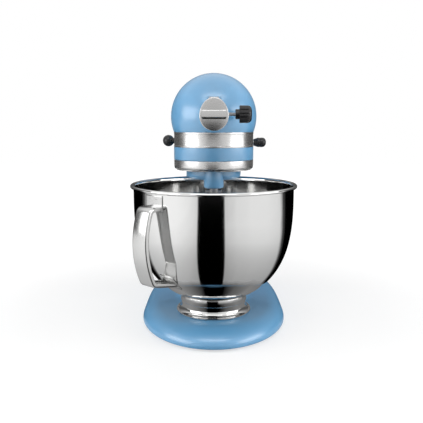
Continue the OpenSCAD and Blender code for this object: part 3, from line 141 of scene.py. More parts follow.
def white_for_eye_and_mirror(tree):
    """A value that is 1 for rays from the camera, off a mirror or through glass, and 0 for the rest."""
    path = shader_node(tree, "LightPath")
    first = shader_node(tree, "Math", {0: path.outputs["Is Camera Ray"], 1: path.outputs["Is Glossy Ray"]},
                        operation="MAXIMUM")
    second = shader_node(tree, "Math", {0: first.outputs[0], 1: path.outputs["Is Transmission Ray"]},
                         operation="MAXIMUM")
    return second.outputs[0]


# %% [markdown]
# The floor is one wide pale sheet that the mixer stands on, and its soft shadow is all that shows on it.
# White comes from Light Path: what the camera and the polished steel see of floor and sky is plain white,
# while the light that falls on the paint stays at an ordinary level.
# The floor mixes white with a shaded surface, so that it is white far away and keeps the shadow near by.

# %% Floor and sky
FLOOR_SIZE = 6.0
FLOOR_COLOR = (0.93, 0.93, 0.93, 1)
FLOOR_WHITE = 1.12              # strength of the floor's own white
SHADE_R, WHITE_R = 0.20, 0.62   # the shadow fades out between these distances
NEAR_SHARE = 0.55               # share of white near the mixer
SKY_LIGHT = 0.20

world = bpy.data.worlds.new("sky")
world.use_nodes = True
sky = world.node_tree
white = white_for_eye_and_mirror(sky)
level = shader_node(sky, "MapRange", {"Value": white, "To Min": SKY_LIGHT, "To Max": 1.0})
wire(sky, sky.nodes["Background"], {"Color": WHITE, "Strength": level.outputs["Result"]})
bpy.context.scene.world = world

floor_paint, tree, shader = new_material(
    "pale_floor", {"Base Color": FLOOR_COLOR, "Roughness": 0.6, "Specular IOR Level": 0.2})
place = shader_node(tree, "TexCoord")
reach = shader_node(tree, "VectorMath", {0: place.outputs["Object"]}, operation="LENGTH")
fade = shader_node(
    tree, "MapRange", {"Value": reach.outputs["Value"], "From Min": SHADE_R, "From Max": WHITE_R,
                       "To Min": NEAR_SHARE, "To Max": 1.0}, interpolation_type="SMOOTHSTEP")
share = shader_node(tree, "Math", {0: fade.outputs["Result"], 1: white_for_eye_and_mirror(tree)},
                    operation="MULTIPLY")
glow = shader_node(tree, "Emission", {"Color": WHITE, "Strength": FLOOR_WHITE})
mix_shaders(tree, share.outputs[0], shader.outputs["BSDF"], glow.outputs["Emission"])

corners = FLOOR_SIZE / 2 * np.array([[-1, -1, 0], [1, -1, 0], [1, 1, 0], [-1, 1, 0]])
floor_mesh = bpy.data.meshes.new("floor")
floor_mesh.from_pydata(corners.tolist(), [], [(0, 1, 2, 3)])
floor_mesh.materials.append(floor_paint)
add_object("floor", floor_mesh)
print("floor and sky ready")

# %% [markdown]
# Two mirrored boxes stand left and right at the head's height, and a wide one hangs in front and above.
# Paint and brushed steel show them as soft highlights, while the bowl looks down past them at the floor.
# The other lamps only brighten what they fall on, and no surface mirrors them.

# %% Soft boxes
BOWL_MIDDLE = Vector((0, BOWL_Y * MM, 0.15))


def around_bowl(turn, distance):
    """A place this many degrees from the front: x = d sin(turn) and y = bowl_y - d cos(turn)."""
    return distance * sin(np.radians(turn)), BOWL_Y * MM - distance * cos(np.radians(turn))


def soft_box(name, turn, distance, height, size, watts, mirrored=False):
    """A rectangular area lamp at this turn from the front, facing the middle of the bowl."""
    data = bpy.data.lights.new(name, "AREA")
    data.shape = "RECTANGLE"
    data.size, data.size_y = size
    data.energy = watts
    lamp = add_object(name, data)
    lamp.location = (*around_bowl(turn, distance), height)
    lamp.rotation_euler = (BOWL_MIDDLE - lamp.location).to_track_quat("-Z", "Y").to_euler()
    lamp.visible_glossy = mirrored


soft_box("left_box", -67, 1.30, 0.46, (1.05, 0.62), 5.2, mirrored=True)
soft_box("right_box", 71, 1.30, 0.46, (1.05, 0.62), 5.2, mirrored=True)
soft_box("front_box", 0, 0.90, 1.45, (1.4, 0.5), 4.5, mirrored=True)
soft_box("left_fill", -86, 1.40, 0.60, (0.8, 0.8), 8.0)
soft_box("right_fill", 86, 1.40, 0.60, (0.8, 0.8), 8.0)
soft_box("top_fill", 0, 0.10, 1.75, (1.1, 1.1), 5.0)
soft_box("rear_box", 180, 1.9, 1.0, (1.6, 1.0), 5.0)
print(len(bpy.data.lights), "lamps")

# %% [markdown]
# Polished steel shows its surroundings, so a ring of cards is laid around the mixer for reflections alone.
# It lies on the floor and stands up far out, and each point has a darkness from 0 (clear) to 1 (black).
# The bowl looks down on the floor part: a black strip in front makes its dark middle stripe,
# and black behind the shoulders makes its dark sides. The head looks level at the standing part.

# %% Ring of cards for reflections
TURNS = np.array([-180, -116, -109, -101, -75, -50, -28, -21.5, -20.3,
                  13.0, 14.2, 30, 50, 75, 101, 109, 116, 180])
FLOOR_DARK = np.array([1, 1, 0.9, 0.1, 0.0, 0.02, 0.2, 0.3, 1,
                       1, 0.36, 0.22, 0.16, 0.16, 0.25, 0.93, 1, 1])
LEVEL_DARK = np.array([0.9, 0.9, 0.9, 0.92, 0.8, 0.0, 0.1, 0.3, 0.38,
                       0.38, 0.35, 0.15, 0.0, 0.7, 0.92, 0.9, 0.9, 0.9])
# The last column is painted shade: the floor close to the mixer is made darker, and only the bowl's
# reflection shows it.
CARD_ROWS = [        # distance, height, share of floor darkness, share of level darkness, own darkness
    (0.08, 0.002, 1, 0, 0.50), (0.22, 0.002, 1, 0, 0.32), (0.40, 0.002, 1, 0, 0.10), (0.75, 0.002, 1, 0, 0),
    (2.0, 0.002, 1, 0, 0), (2.0, 0.06, 0.7, 0.3, 0), (2.0, 0.16, 0, 1, 0), (2.0, 0.5, 0, 1, 0),
    (2.0, 0.9, 0, 0.8, 0), (2.0, 1.7, 0, 0.2, 0)]


def grid_faces(rows, columns, wrap_rows=False, wrap_columns=False):
    """Four corner numbers for each cell of a grid, the last cell joined to the first where it wraps."""
    row = np.arange(rows if wrap_rows else rows - 1)[:, None]
    column = np.arange(columns if wrap_columns else columns - 1)[None, :]
    next_row, next_column = (row + 1) % rows, (column + 1) % columns
    corners = np.broadcast_arrays(
        row * columns + column, row * columns + next_column,
        next_row * columns + next_column, next_row * columns + column)
    return np.stack(corners, axis=-1).reshape(-1, 4)


card_black, tree, shader = new_material("card_black", {
    "Base Color": (0, 0, 0, 1), "Roughness": 1.0, "Specular IOR Level": 0.0, "Emission Color": WHITE})
dark_value = shader_node(tree, "Attribute", attribute_name="dark")
glow_value = shader_node(tree, "Attribute", attribute_name="glow")
wire(tree, shader, {"Emission Strength": glow_value.outputs["Fac"]})
clear = shader_node(tree, "BsdfTransparent")
mix_shaders(tree, dark_value.outputs["Fac"], clear.outputs["BSDF"], shader.outputs["BSDF"])


def card_ring(name, turns, distance, height, dark, glow):
    """Cards around the bowl: one column for each turn, and one row for each distance and height."""
    x, y = around_bowl(turns, distance)
    points = np.stack([x, y, np.broadcast_to(height, x.shape)], axis=-1).reshape(-1, 3)
    mesh = bpy.data.meshes.new(name)
    mesh.from_pydata(points.tolist(), [], grid_faces(*dark.shape).tolist())
    for label, value in (("dark", dark), ("glow", glow)):
        made = mesh.attributes.new(label, "FLOAT", "POINT")
        made.data.foreach_set("value", value.astype(np.float32).ravel())
    mesh.materials.append(card_black)
    card = add_object(name, mesh)
    for ray in ("camera", "diffuse", "shadow", "transmission"):
        setattr(card, "visible_" + ray, False)


distance, height, floor_share, level_share, painted_shade = (np.array(column)[:, None] for column in zip(*CARD_ROWS))
ring_dark = 1 - (1 - FLOOR_DARK * floor_share) * (1 - LEVEL_DARK * level_share) * (1 - painted_shade)
card_ring("reflection_cards", TURNS, distance, height, ring_dark, np.zeros_like(ring_dark))
print("reflection cards with", ring_dark.size, "points")

# %% [markdown]
# The bottom of the bowl looks down on the painted base, and would turn blue with it.
# A small ring of cards just over the base, seen only in the bowl, keeps it grey, and black straight in
# front: a painted reflection, with the grey cards glowing faintly.

# %% Ring of cards over the base
SEAT_TURNS = np.array([-180, -100, -60, -30, -14, 14, 30, 60, 100, 180])
SEAT_GLOW = np.array([0.1, 0.25, 0.3, 0.14, 0.0, 0.0, 0.12, 0.25, 0.2, 0.1])
SEAT_DISTANCE = np.array([[0.054], [0.088], [0.108]])
SEAT_DARK = np.array([[1.0], [1.0], [0.0]])
seat_height = node_box("clamp_plate")[0, 2] * MM + 0.001
ones = np.ones((len(SEAT_DISTANCE), len(SEAT_TURNS)))
card_ring("seat_cards", SEAT_TURNS, SEAT_DISTANCE, seat_height, SEAT_DARK * ones, SEAT_GLOW * ones)
print("seat cards with", ones.size, "points")

# %% [markdown]
# A made surface doesn't have one colour: paint has a faint orange peel, brushed metal has its lines,
# and handling leaves duller and shinier patches. All of it is small, and it is worked out by noise
# that reads the piece's own coordinates in metres, so a scale of 1000 is a grain of about a millimetre.

# %% Helpers for the finishes
PATCH_SCALE = 28              # patches of wear a few centimetres wide
GRAIN_HEIGHT = 0.0002


def noise_on(tree, scale, stretch=(1, 1, 1), detail=3.0):
    """Noise over the object's own coordinates, squeezed along each axis by stretch."""
    place = shader_node(tree, "TexCoord")
    mapping = shader_node(tree, "Mapping", {"Vector": place.outputs["Object"], "Scale": stretch})
    noise = {"Vector": mapping.outputs["Vector"], "Scale": scale, "Detail": detail}
    return shader_node(tree, "TexNoise", noise).outputs["Fac"]


def spread(tree, value, low, high):
    """Stretches the middle of a noise's range, 0.3 to 0.7, so that it runs from low to high."""
    ends = {"Value": value, "From Min": 0.3, "From Max": 0.7, "To Min": low, "To Max": high}
    return shader_node(tree, "MapRange", ends).outputs["Result"]


def vary_color(tree, color, value, amount):
    """A colour that wanders by this share to either side of the given one."""
    darker = tuple(c * (1 - amount) for c in color) + (1,)
    lighter = tuple(min(1, c * (1 + amount)) for c in color) + (1,)
    mix = shader_node(tree, "Mix", {"Factor": value, "A": darker, "B": lighter}, data_type="RGBA")
    return mix.outputs["Result"]


# %% [markdown]
# One recipe makes every finish on the mixer: a colour, how metallic it is, how rough,
# the size of its grain and which way the grain is drawn out. A lathe or a brush draws it along the turn,
# which is a short scale up the axis and a long one around it.

# %% One recipe for all finishes
def finish(name, color, metallic, rough, grain=900, stretch=(1, 1, 1), vary=0.04, rough_by=0.05,
           relief=0.02, coat=0.0, coat_rough=0.1, coat_ior=1.5, specular=0.5):
    """A finish with its own grain, patches of wear, and roughness that follows both."""
    material, tree, shader = new_material(name, {
        "Metallic": metallic, "Specular IOR Level": specular, "Coat Weight": coat,
        "Coat Roughness": coat_rough, "Coat IOR": coat_ior})
    patches = noise_on(tree, PATCH_SCALE, detail=2.0)
    fine = noise_on(tree, grain, stretch)
    half = shader_node(tree, "Math", {0: patches, 1: 0.5}, operation="MULTIPLY")
    both = shader_node(tree, "Math", {0: fine, 1: 0.5, 2: half.outputs[0]}, operation="MULTIPLY_ADD")
    bump = shader_node(tree, "Bump", {"Strength": relief, "Distance": GRAIN_HEIGHT, "Height": fine})
    wire(tree, shader, {
        "Base Color": vary_color(tree, color, spread(tree, patches, 0, 1), vary),
        "Roughness": spread(tree, both.outputs[0], rough - rough_by, rough + rough_by),
        "Normal": bump.outputs["Normal"]})
    return material


ALONG_TURN = (0.04, 0.04, 1)      # lines around the vertical axis
ALONG_SHAFT = (1, 0.04, 0.04)     # lines around an axis that runs left to right

SATIN_PAINT = finish("satin_paint", (0.135, 0.385, 0.66), 0.0, 0.42, grain=1400, vary=0.02, rough_by=0.03,
                     relief=0.05, coat=1.0, coat_rough=0.25, coat_ior=1.9, specular=0.3)
POLISHED_STEEL = finish("polished_steel", (0.78, 0.78, 0.775), 1.0, 0.075, grain=2600, stretch=ALONG_TURN,
                        vary=0.01, rough_by=0.012, relief=0.008)
SATIN_STEEL = finish("satin_steel", (0.66, 0.66, 0.655), 1.0, 0.20, grain=2600, vary=0.02, rough_by=0.03,
                     relief=0.03)
BRUSHED_STEEL = finish("brushed_steel", (0.64, 0.635, 0.63), 1.0, 0.27, grain=3200, stretch=ALONG_TURN,
                       vary=0.02, relief=0.10)
MACHINED_STEEL = finish("machined_steel", (0.55, 0.55, 0.56), 1.0, 0.30, grain=2400, vary=0.05, relief=0.08)
ZINC_STEEL = finish("zinc_steel", (0.62, 0.63, 0.62), 1.0, 0.36, grain=700, vary=0.08, relief=0.05)
BLACK_PLASTIC = finish("black_plastic", (0.012, 0.012, 0.013), 0.0, 0.24, grain=1800, vary=0.1, relief=0.04)
BLACK_RUBBER = finish("black_rubber", (0.025, 0.025, 0.025), 0.0, 0.75, grain=1500, vary=0.1, relief=0.3,
                      specular=0.3)
LAMINATIONS = finish("laminations", (0.24, 0.24, 0.26), 1.0, 0.45, grain=1300, stretch=(0.02, 1, 0.02),
                     vary=0.06, relief=0.8)
ENAMELLED_COPPER = finish("enamelled_copper", (0.62, 0.24, 0.09), 1.0, 0.32, grain=1500,
                          stretch=(1, 0.1, 1), vary=0.08, relief=0.8)
SINTERED_BRONZE = finish("sintered_bronze", (0.55, 0.37, 0.16), 1.0, 0.42, grain=1500, vary=0.07,
                         relief=0.15)
TURNED_BRASS = finish("turned_brass", (0.72, 0.52, 0.20), 1.0, 0.26, grain=1800, stretch=ALONG_SHAFT,
                      relief=0.06)
CARBON = finish("carbon", (0.02, 0.02, 0.02), 0.0, 0.6, grain=1500, vary=0.2, relief=0.2)
CAST_ALLOY = finish("cast_alloy", (0.48, 0.48, 0.49), 1.0, 0.50, vary=0.05, relief=0.4)
CIRCUIT_BOARD = finish("circuit_board", (0.02, 0.12, 0.05), 0.0, 0.35, grain=1200, vary=0.08, relief=0.1)
print(len([m for m in bpy.data.materials if m.use_nodes]), "materials so far")

# %% [markdown]
# A turned or lofted part is a grid of points: rows run one way over the surface and columns the other.
# numpy works out the whole grid at once, and a cell of the grid becomes one four-sided face.
# Where a surface closes on itself its first and last points coincide, and merging them seals it.

# %% From a grid of points to a piece
MERGE_GAP = 2e-6      # in metres, like all that Blender's own tools are told
SLIVER = 1e-7
CREASE = 40           # degrees: faces that meet more sharply than this are shaded with an edge


def grid(points, wrap_rows=False, wrap_columns=False):
    """A part of a piece: its points as rows of x, y, z, and its faces."""
    return points.reshape(-1, 3), grid_faces(*points.shape[:2], wrap_rows, wrap_columns)


def lid(loop):
    """One face that closes a loop of points."""
    return loop, np.arange(len(loop))[None, :]


def build_mesh(name, parts):
    """One mesh from several parts, in metres: points merged where they meet, and faces turned outwards."""
    starts = np.cumsum([0] + [len(points) for points, _ in parts])
    points = np.concatenate([points for points, _ in parts]) * MM
    faces = [face for (_, quads), start in zip(parts, starts) for face in (quads + start).tolist()]
    mesh = bpy.data.meshes.new(name)
    mesh.from_pydata(points.tolist(), [], faces)
    work = bmesh.new()
    work.from_mesh(mesh)
    bmesh.ops.remove_doubles(work, verts=work.verts, dist=MERGE_GAP)
    bmesh.ops.dissolve_degenerate(work, edges=work.edges, dist=SLIVER)
    bmesh.ops.recalc_face_normals(work, faces=work.faces)
    middle = Vector(points.mean(axis=0))
    outward = sum((f.calc_center_median() - middle).dot(f.normal) * f.calc_area() for f in work.faces)
    if outward < 0:
        bmesh.ops.reverse_faces(work, faces=work.faces)
    work.to_mesh(mesh)
    work.free()
    return mesh


def shade(mesh, crease):
    """Smooth shading, with an edge wherever two faces meet more sharply than the crease angle."""
    mesh.shade_smooth()
    mesh.set_sharp_from_angle(angle=np.radians(crease))


def make_piece(name, body, parts, material, replaces=(), crease=CREASE):
    """A piece of the model: its mesh, finish, body, and the CAD nodes that it stands for."""
    mesh = build_mesh(name, parts)
    mesh.materials.append(material)
    shade(mesh, crease)
    piece = add_object(name, mesh)
    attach(piece, body)
    if replaces:
        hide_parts(*replaces)
    print(name, "on", body, "with", len(mesh.polygons), "faces")
    return piece


def round_edges(piece, width):
    """Rounds the sharp edges of a piece by this width."""
    bevel = piece.modifiers.new("rounded_edges", "BEVEL")
    bevel.width = width * MM
    bevel.segments = 3
    bevel.limit_method = "ANGLE"
    bevel.angle_limit = np.radians(CREASE)


def add_wall(piece, thickness, edge):
    """Gives an open surface a wall that grows inwards, and rounds its edges."""
    wall = piece.modifiers.new("wall", "SOLIDIFY")
    wall.thickness = thickness * MM
    wall.offset = -1
    round_edges(piece, edge)


# %% [markdown]
# Most outlines here are a few straight lines with rounded corners, as a lathe or a press leaves them.
# A bevel could round the finished mesh instead, but in the outline each corner gets its own exact radius.

# %% Rounded outlines
SAME_POINT = 1e-4     # millimetres


def unit(vectors):
    """Vectors scaled to length one."""
    length = np.linalg.norm(vectors, axis=-1, keepdims=True)
    return vectors / np.maximum(length, 1e-12)


def arc(center, radius, start, end, steps):
    """Points on an arc, its angles in degrees."""
    a = np.radians(np.linspace(start, end, steps + 1))
    return center + radius * np.stack([cos(a), sin(a)], axis=1)


def rounded(corners, radii, steps=6):
    """An outline with an arc at each corner: it starts and ends radius / tan(half the corner's angle) away,
    and runs around a centre that lies radius / sin(half the angle) along the corner's middle line.
    An outline whose first radius is 0 is open, and any other runs back to its start."""
    corners, radii = np.array(corners, dtype=float), np.array(radii, dtype=float)
    closed = radii[0] > 0
    back, ahead = unit(np.roll(corners, 1, axis=0) - corners), unit(np.roll(corners, -1, axis=0) - corners)
    if not closed:
        back[0], ahead[-1] = -ahead[0], -back[-1]
    corner_angle = np.arccos(np.clip((back * ahead).sum(-1), -0.999999, 0.999999))
    reach = np.maximum(radii, SAME_POINT / 100)[:, None]
    start = corners + back * reach / np.tan(corner_angle / 2)[:, None]
    end = corners + ahead * reach / np.tan(corner_angle / 2)[:, None]
    center = corners + unit(back + ahead) * reach / sin(corner_angle / 2)[:, None]
    swing = (pi - corner_angle)[:, None, None]
    share = np.linspace(0, 1, steps + 1)[None, :, None]
    bow = (sin((1 - share) * swing) * (start - center)[:, None]
           + sin(share * swing) * (end - center)[:, None]) / sin(swing)
    points = (center[:, None] + bow).reshape(-1, 2)
    points[np.repeat(radii <= 0, steps + 1)] = np.repeat(corners[radii <= 0], steps + 1, axis=0)
    keep = np.linalg.norm(points - np.roll(points, 1, axis=0), axis=1) > SAME_POINT
    keep[0] |= not closed
    return points[keep]


# %% [markdown]
# A lathe makes bowls, rings, feet, screws and knobs, so one function turns an outline around an axis.
# A turned part is drawn standing on Z, then laid along the axis that it has on the mixer and moved there.

# %% Turned shapes and their places
def turned(outline, steps, ripple=None):
    """An outline of radius and height turned around Z: x = radius times sine, y = radius times cosine.
    The outline starts and ends on the axis, or it is a closed loop beside it.
    A ripple is a function of angle and height that the radius is multiplied by, for flutes."""
    angle = np.linspace(0, 2 * pi, steps, endpoint=False)[:, None]
    radius, height = outline[None, :, 0], outline[None, :, 1]
    if ripple is not None:
        radius = radius * ripple(angle, height)
    x, y = radius * sin(angle), radius * cos(angle)
    return grid(np.stack([x, y, np.broadcast_to(height, x.shape)], axis=-1), True, outline[0, 0] > 0)


def moved(part, to=(0, 0, 0), along="z"):
    """A part drawn along Z laid along another axis, then moved to a place."""
    points, faces = part
    x, y, z = points.T
    laid = {"z": (x, y, z), "x": (z, y, -x), "-x": (-z, y, x), "y": (x, z, -y), "-y": (x, -z, y)}[along]
    return np.stack(laid, axis=1) + to, faces


def placed(part, x=0.0, y=0.0, z=0.0, along="z"):
    """A part laid along an axis and moved to a place, with y counted from the bowl's axis."""
    return moved(part, (x, BOWL_Y + y, z), along)


# %% [markdown]
# The bowl is spun from one sheet of steel: a deep round belly, a short straight lip and a rolled rim.
# Its side follows a rounded curve, radius = full radius * (1 - t^2.75)^(1/2.25), with t from lip to floor.
# A subdivided cylinder could be pushed into shape by hand, but the true outline gives clean reflections,
# and on polished steel every ripple in the surface would show.

# %% Mixing bowl
BOWL_R = 109.6
BOWL_SHEET = 1.2
BELLY_POWER = 2.75
BELLY_ROOT = 2.25
BOWL_FLOOR = node_box("bowl")[0, 2]
SHOULDER_Z = BOWL_FLOOR + 146.0
RIM_Z = SHOULDER_Z + 13.4
RIM_ROLL = 2.3
LIP_Z = RIM_Z - 8.0


def bowl_side(inward=0.0):
    """Belly outline from the shoulder to the axis: points crowd together where the curve turns fastest."""
    t = sin(np.linspace(0, pi / 2, 73))
    radius = (BOWL_R - inward) * np.clip(1 - t ** BELLY_POWER, 0, 1) ** (1 / BELLY_ROOT)
    return np.stack([radius, SHOULDER_Z - (SHOULDER_Z - BOWL_FLOOR - inward) * t], axis=1)


def bowl_radius(z):
    """Outer radius of the bowl at a height, or at many."""
    t = np.clip((SHOULDER_Z - z) / (SHOULDER_Z - BOWL_FLOOR), 0, 1)
    return BOWL_R * (1 - t ** BELLY_POWER) ** (1 / BELLY_ROOT)


def bowl_height(radius):
    """Height of the bowl's outer surface at a radius, the belly curve solved for height."""
    t = (1 - (radius / BOWL_R) ** BELLY_ROOT) ** (1 / BELLY_POWER)
    return SHOULDER_Z - (SHOULDER_Z - BOWL_FLOOR) * t


roll = arc((BOWL_R + RIM_ROLL - 0.2, RIM_Z), RIM_ROLL, 204, 505, 39)
inner_lip = np.array([[-0.55, 0.95], [-1.0, 0.1], [-1.2, -1.4]]) + [BOWL_R, RIM_Z]
bowl_outline = np.vstack([
    bowl_side()[::-1], [[BOWL_R, LIP_Z]], roll, inner_lip,
    [[BOWL_R - BOWL_SHEET, LIP_Z]], bowl_side(BOWL_SHEET)])
make_piece("mixing_bowl", "bowl_set", [placed(turned(bowl_outline, 256))],
           POLISHED_STEEL, ["bowl"], crease=50)

# %% [markdown]
# The bowl stands in a pressed foot ring that is spot-welded under it.
# From the bottom up it has a flat flange, a hollow curve, a straight neck and a bead that cups the bowl.
# Three tongues inside it turn under the plate on the base and lock the bowl there.

# %% Foot ring of the bowl
RING_Z = node_box("bowl_foot")[0, 2]
NECK_R = 44.6
FLANGE_R = 52.3
BEAD_R = 46.4
RING_SHEET = 1.6
TONGUE_TURN = 0.205       # radians to either side


def arc_bar(section, turns):
    """A closed section of radius and height carried along an arc about Z, with its two ends filled."""
    radius, height = section[None, :, 0], section[None, :, 1]
    around = turns[:, None]
    points = np.stack(np.broadcast_arrays(radius * sin(around), -radius * cos(around), height), axis=-1)
    ends = np.repeat(points[[0, -1]].mean(axis=1, keepdims=True), points.shape[1], axis=1)
    return grid(np.concatenate([ends[:1], points, ends[1:]]), False, True)


bead_top = bowl_height(BEAD_R) - RING_Z
neck_top = bowl_height(NECK_R - RING_SHEET) - RING_Z
ring_outline = [0, RING_Z] + np.vstack([
    [[NECK_R - RING_SHEET, 0]],
    rounded([[FLANGE_R - 2, 0], [FLANGE_R, 0], [FLANGE_R, 2.2], [FLANGE_R - 1.2, 2.25]], [0, 0.9, 0.9, 0]),
    arc((FLANGE_R + 0.8, 10.3), 8.1, 262, 186, 13),
    rounded([[NECK_R + 0.35, 12], [NECK_R + 0.3, 15.4], [BEAD_R, 15.9], [BEAD_R, bead_top - 0.8],
             [BEAD_R - 0.6, bead_top]], [0, 1.2, 0.9, 0.7, 0]),
    [[NECK_R - RING_SHEET, neck_top]]])
tongue_section = [0, RING_Z] + rounded([[38.0, 1.0], [44.2, 1.0], [44.2, 3.2], [38.0, 3.2]], [0.5] * 4)
tongue_turns = pi / 2 + np.linspace(-TONGUE_TURN, TONGUE_TURN, 14)
tongues = [placed(arc_bar(tongue_section, tongue_turns + k * 2 * pi / 3)) for k in range(3)]
make_piece("bowl_foot_ring", "bowl_set", [placed(turned(ring_outline, 192))] + tongues,
           POLISHED_STEEL, ["bowl_foot"])

# %% [markdown]
# Castings get their holes and slots by cutting: a closed shape is taken away, and plain faces are kept.
# Afterwards the cutting shape is deleted, so no hidden object and no modifier stays behind.

# %% Blocks, rods and cutting
def block(low, high):
    """A closed box between two corners, with y counted from the bowl's axis."""
    low, high = np.asarray(low, dtype=float), np.asarray(high, dtype=float)
    square = [(0, 0), (1, 0), (1, 1), (0, 1)]
    pick = np.array([(x, y, z) for z in (0, 1) for x, y in square])
    faces = np.array([[0, 3, 2, 1], [4, 5, 6, 7], [0, 1, 5, 4], [1, 2, 6, 5], [2, 3, 7, 6], [3, 0, 4, 7]])
    return placed((low + pick * (high - low), faces))


def rod(radius, start, end, edge=0.0, steps=96):
    """A plain round bar along Z, with its two edges rounded if asked."""
    corners = [[0, start], [radius, start], [radius, end], [0, end]]
    return turned(rounded(corners, [0, edge, edge, 0]), steps)


def standing(radius, x, y, z_low, z_high, edge=0.0):
    """An upright bar at x and y, with y counted from the bowl's axis."""
    return placed(rod(radius, z_low, z_high, edge, 64), x, y)


def carve(piece, parts, operation="DIFFERENCE", crease=CREASE):
    """Cuts closed parts out of a piece, or joins them to it, and keeps the result as its mesh."""
    tool = add_object("tool", build_mesh("tool", parts))
    step = piece.modifiers.new("carve", "BOOLEAN")
    step.operation = operation
    step.solver = "EXACT"
    step.object = tool
    step.use_self = len(parts) > 1
    done = bpy.data.meshes.new_from_object(piece.evaluated_get(bpy.context.evaluated_depsgraph_get()))
    piece.modifiers.clear()
    before, tool_mesh = piece.data, tool.data
    piece.data = done
    bpy.data.objects.remove(tool)
    for mesh in (before, tool_mesh):
        bpy.data.meshes.remove(mesh)
    done.name = piece.name
    shade(done, crease)


# %% [markdown]
# The base is one hollow casting. Seen from above it is an ellipse in front and a fuller curve behind,
# |x / w|^3.5 + |y / l|^3.5 = 1, and its broad edge rolls over the top by a quarter of an ellipse.
# The same outline, drawn in a little further at every height, makes the outside and the hollow underneath.

# %% Base
BASE_TOP = node_box("base_foot")[1, 2] - 4.0
BASE_POWER = 3.5
BASE_MIDDLE = 68.0
FEET_H = 3.0
CAST_WALL = 5.0
EDGE_ROLL = 24.0
EDGE_SHIFT = 6.0
TUCK = 2.0
FOOT_PLACES = [(-72, 0), (72, 0), (-64, 170), (64, 170), (0, -66)]


def base_outline(turn, inset, shift):
    """The base's outline: x = w cos t and y = l sin t in front, both to the power 2/3.5 behind."""
    wide, behind, ahead = 104.0 - inset, 196.0 - inset, 139.3 - inset
    c, s = cos(turn), sin(turn)
    bent_c, bent_s = np.sign(c) * np.abs(c) ** (2 / BASE_POWER), np.abs(s) ** (2 / BASE_POWER)
    x = wide * np.where(s > 0, bent_c, c)
    y = 40.0 + shift + np.where(s > 0, behind * bent_s, ahead * s)
    return x, y


fine_turn = np.linspace(0, 2 * pi, 8001)
fine_x, fine_y = base_outline(fine_turn, 0, 0)
walked = np.concatenate([[0], np.cumsum(np.hypot(np.diff(fine_x), np.diff(fine_y)))])
BASE_TURN = np.interp(np.linspace(0, walked[-1], 281)[:-1], walked, fine_turn)


def base_ring(inset, shift, z, scale=1.0):
    """One ring of base points; a scale under 1 draws it together towards the middle."""
    x, y = base_outline(BASE_TURN, inset, shift)
    return np.stack([x * scale, BASE_MIDDLE + (y - BASE_MIDDLE) * scale, np.full_like(x, z)], axis=1)


def base_edge(z_low, z_high, inset):
    """Rings of the rolled edge: z = low + h sin a, inset + 24 (1 - cos a), shifted by 6 (1 - cos a)."""
    return [base_ring(inset + EDGE_ROLL * (1 - cos(a)), EDGE_SHIFT * (1 - cos(a)),
                      z_low + (z_high - z_low) * sin(a)) for a in np.linspace(0, pi / 2, 15)]


roof = BASE_TOP - CAST_WALL
lip = [base_ring(TUCK * (1 - cos(a)), 0, FEET_H + TUCK * (1 - sin(a))) for a in np.linspace(pi / 2, 0, 6)]
flat_scales = (0.8, 0.5, 0.2, 0.0)
rings = (
    [base_ring(EDGE_ROLL + 7, EDGE_SHIFT, roof, k) for k in flat_scales[::-1]]
    + base_edge(FEET_H, roof, CAST_WALL + TUCK)[::-1] + lip + base_edge(FEET_H + TUCK, BASE_TOP, 0)[1:]
    + [base_ring(EDGE_ROLL, EDGE_SHIFT, BASE_TOP, k) for k in flat_scales])
bosses = [placed(rod(9, FEET_H, roof + 1, 0.4, 48), x, y) for x, y in FOOT_PLACES]
seat_boss = placed(rod(34, roof + 1, BASE_TOP + 4, 0.8, 128))
base = make_piece("mixer_base", "stand", [placed(grid(np.stack(rings), False, True))],
                  SATIN_PAINT, ["base_foot"], crease=50)
carve(base, bosses + [seat_boss], "UNION", crease=50)

# %% [markdown]
# Five rubber feet are pressed into the base. Each is a turned pad with a rounded edge,
# and the slip-proof ring under it is a shallow groove in the outline.

# %% Rubber feet
foot_outline = np.vstack([
    [[0, 0.35], [4.6, 0.35], [5.0, 0.0]],
    rounded([[6, 0], [8.3, 0], [9.0, 2.9], [8.2, 2.95]], [0, 0.7, 0.4, 0]),
    [[0, 2.95]]])
make_piece("rubber_feet_pads", "stand",
           [placed(turned(foot_outline, 64), x, y) for x, y in FOOT_PLACES],
           BLACK_RUBBER, ["rubber_feet"], crease=50)

# %% [markdown]
# The head is a long round casting that ends in a half ball in front and narrows behind.
# Its radius is sqrt(R^2 - y^2) ahead of the bowl's axis and R sqrt(1 - (y / 245)^4.5) behind it.
# Everything below grows from that one curve: the cap is the part of each circle above the band,
# from the angle -a over the top to 180 + a degrees, where sin a = drop / radius.

# %% Head cap
HEAD_R = node_box("upper_housing")[1, 2] - HEAD_Z
HEAD_REAR = 245.0
REAR_POWER = 4.5
BAND_DROP = 20.2
BAND_H = 19.9
SEAM_Y = 200.0
HUB_HOLE_R = 17.3
SHELL_WALL = 3.5
SHELL_EDGE = 0.5
BORE_R = 7.05           # holes for the brush caps, the cord's inlet and the hinge pin
CASE_BOTTOM = HEAD_Z - 57.1
BAND_TOP = HEAD_Z - BAND_DROP
BAND_BOTTOM = BAND_TOP - BAND_H


def head_radius(y):
    """Radius of the head at a distance behind the bowl's axis."""
    ahead = np.sqrt(np.clip(HEAD_R ** 2 - np.minimum(y, 0) ** 2, 0, None))
    behind = HEAD_R * np.sqrt(np.clip(1 - np.abs(y / HEAD_REAR) ** REAR_POWER, 0, 1))
    return np.where(y < 0, ahead, behind)


def head_half(y):
    """Half width of the head in the plane of the band's top."""
    return np.sqrt(np.clip(head_radius(y) ** 2 - BAND_DROP ** 2, 0, None))


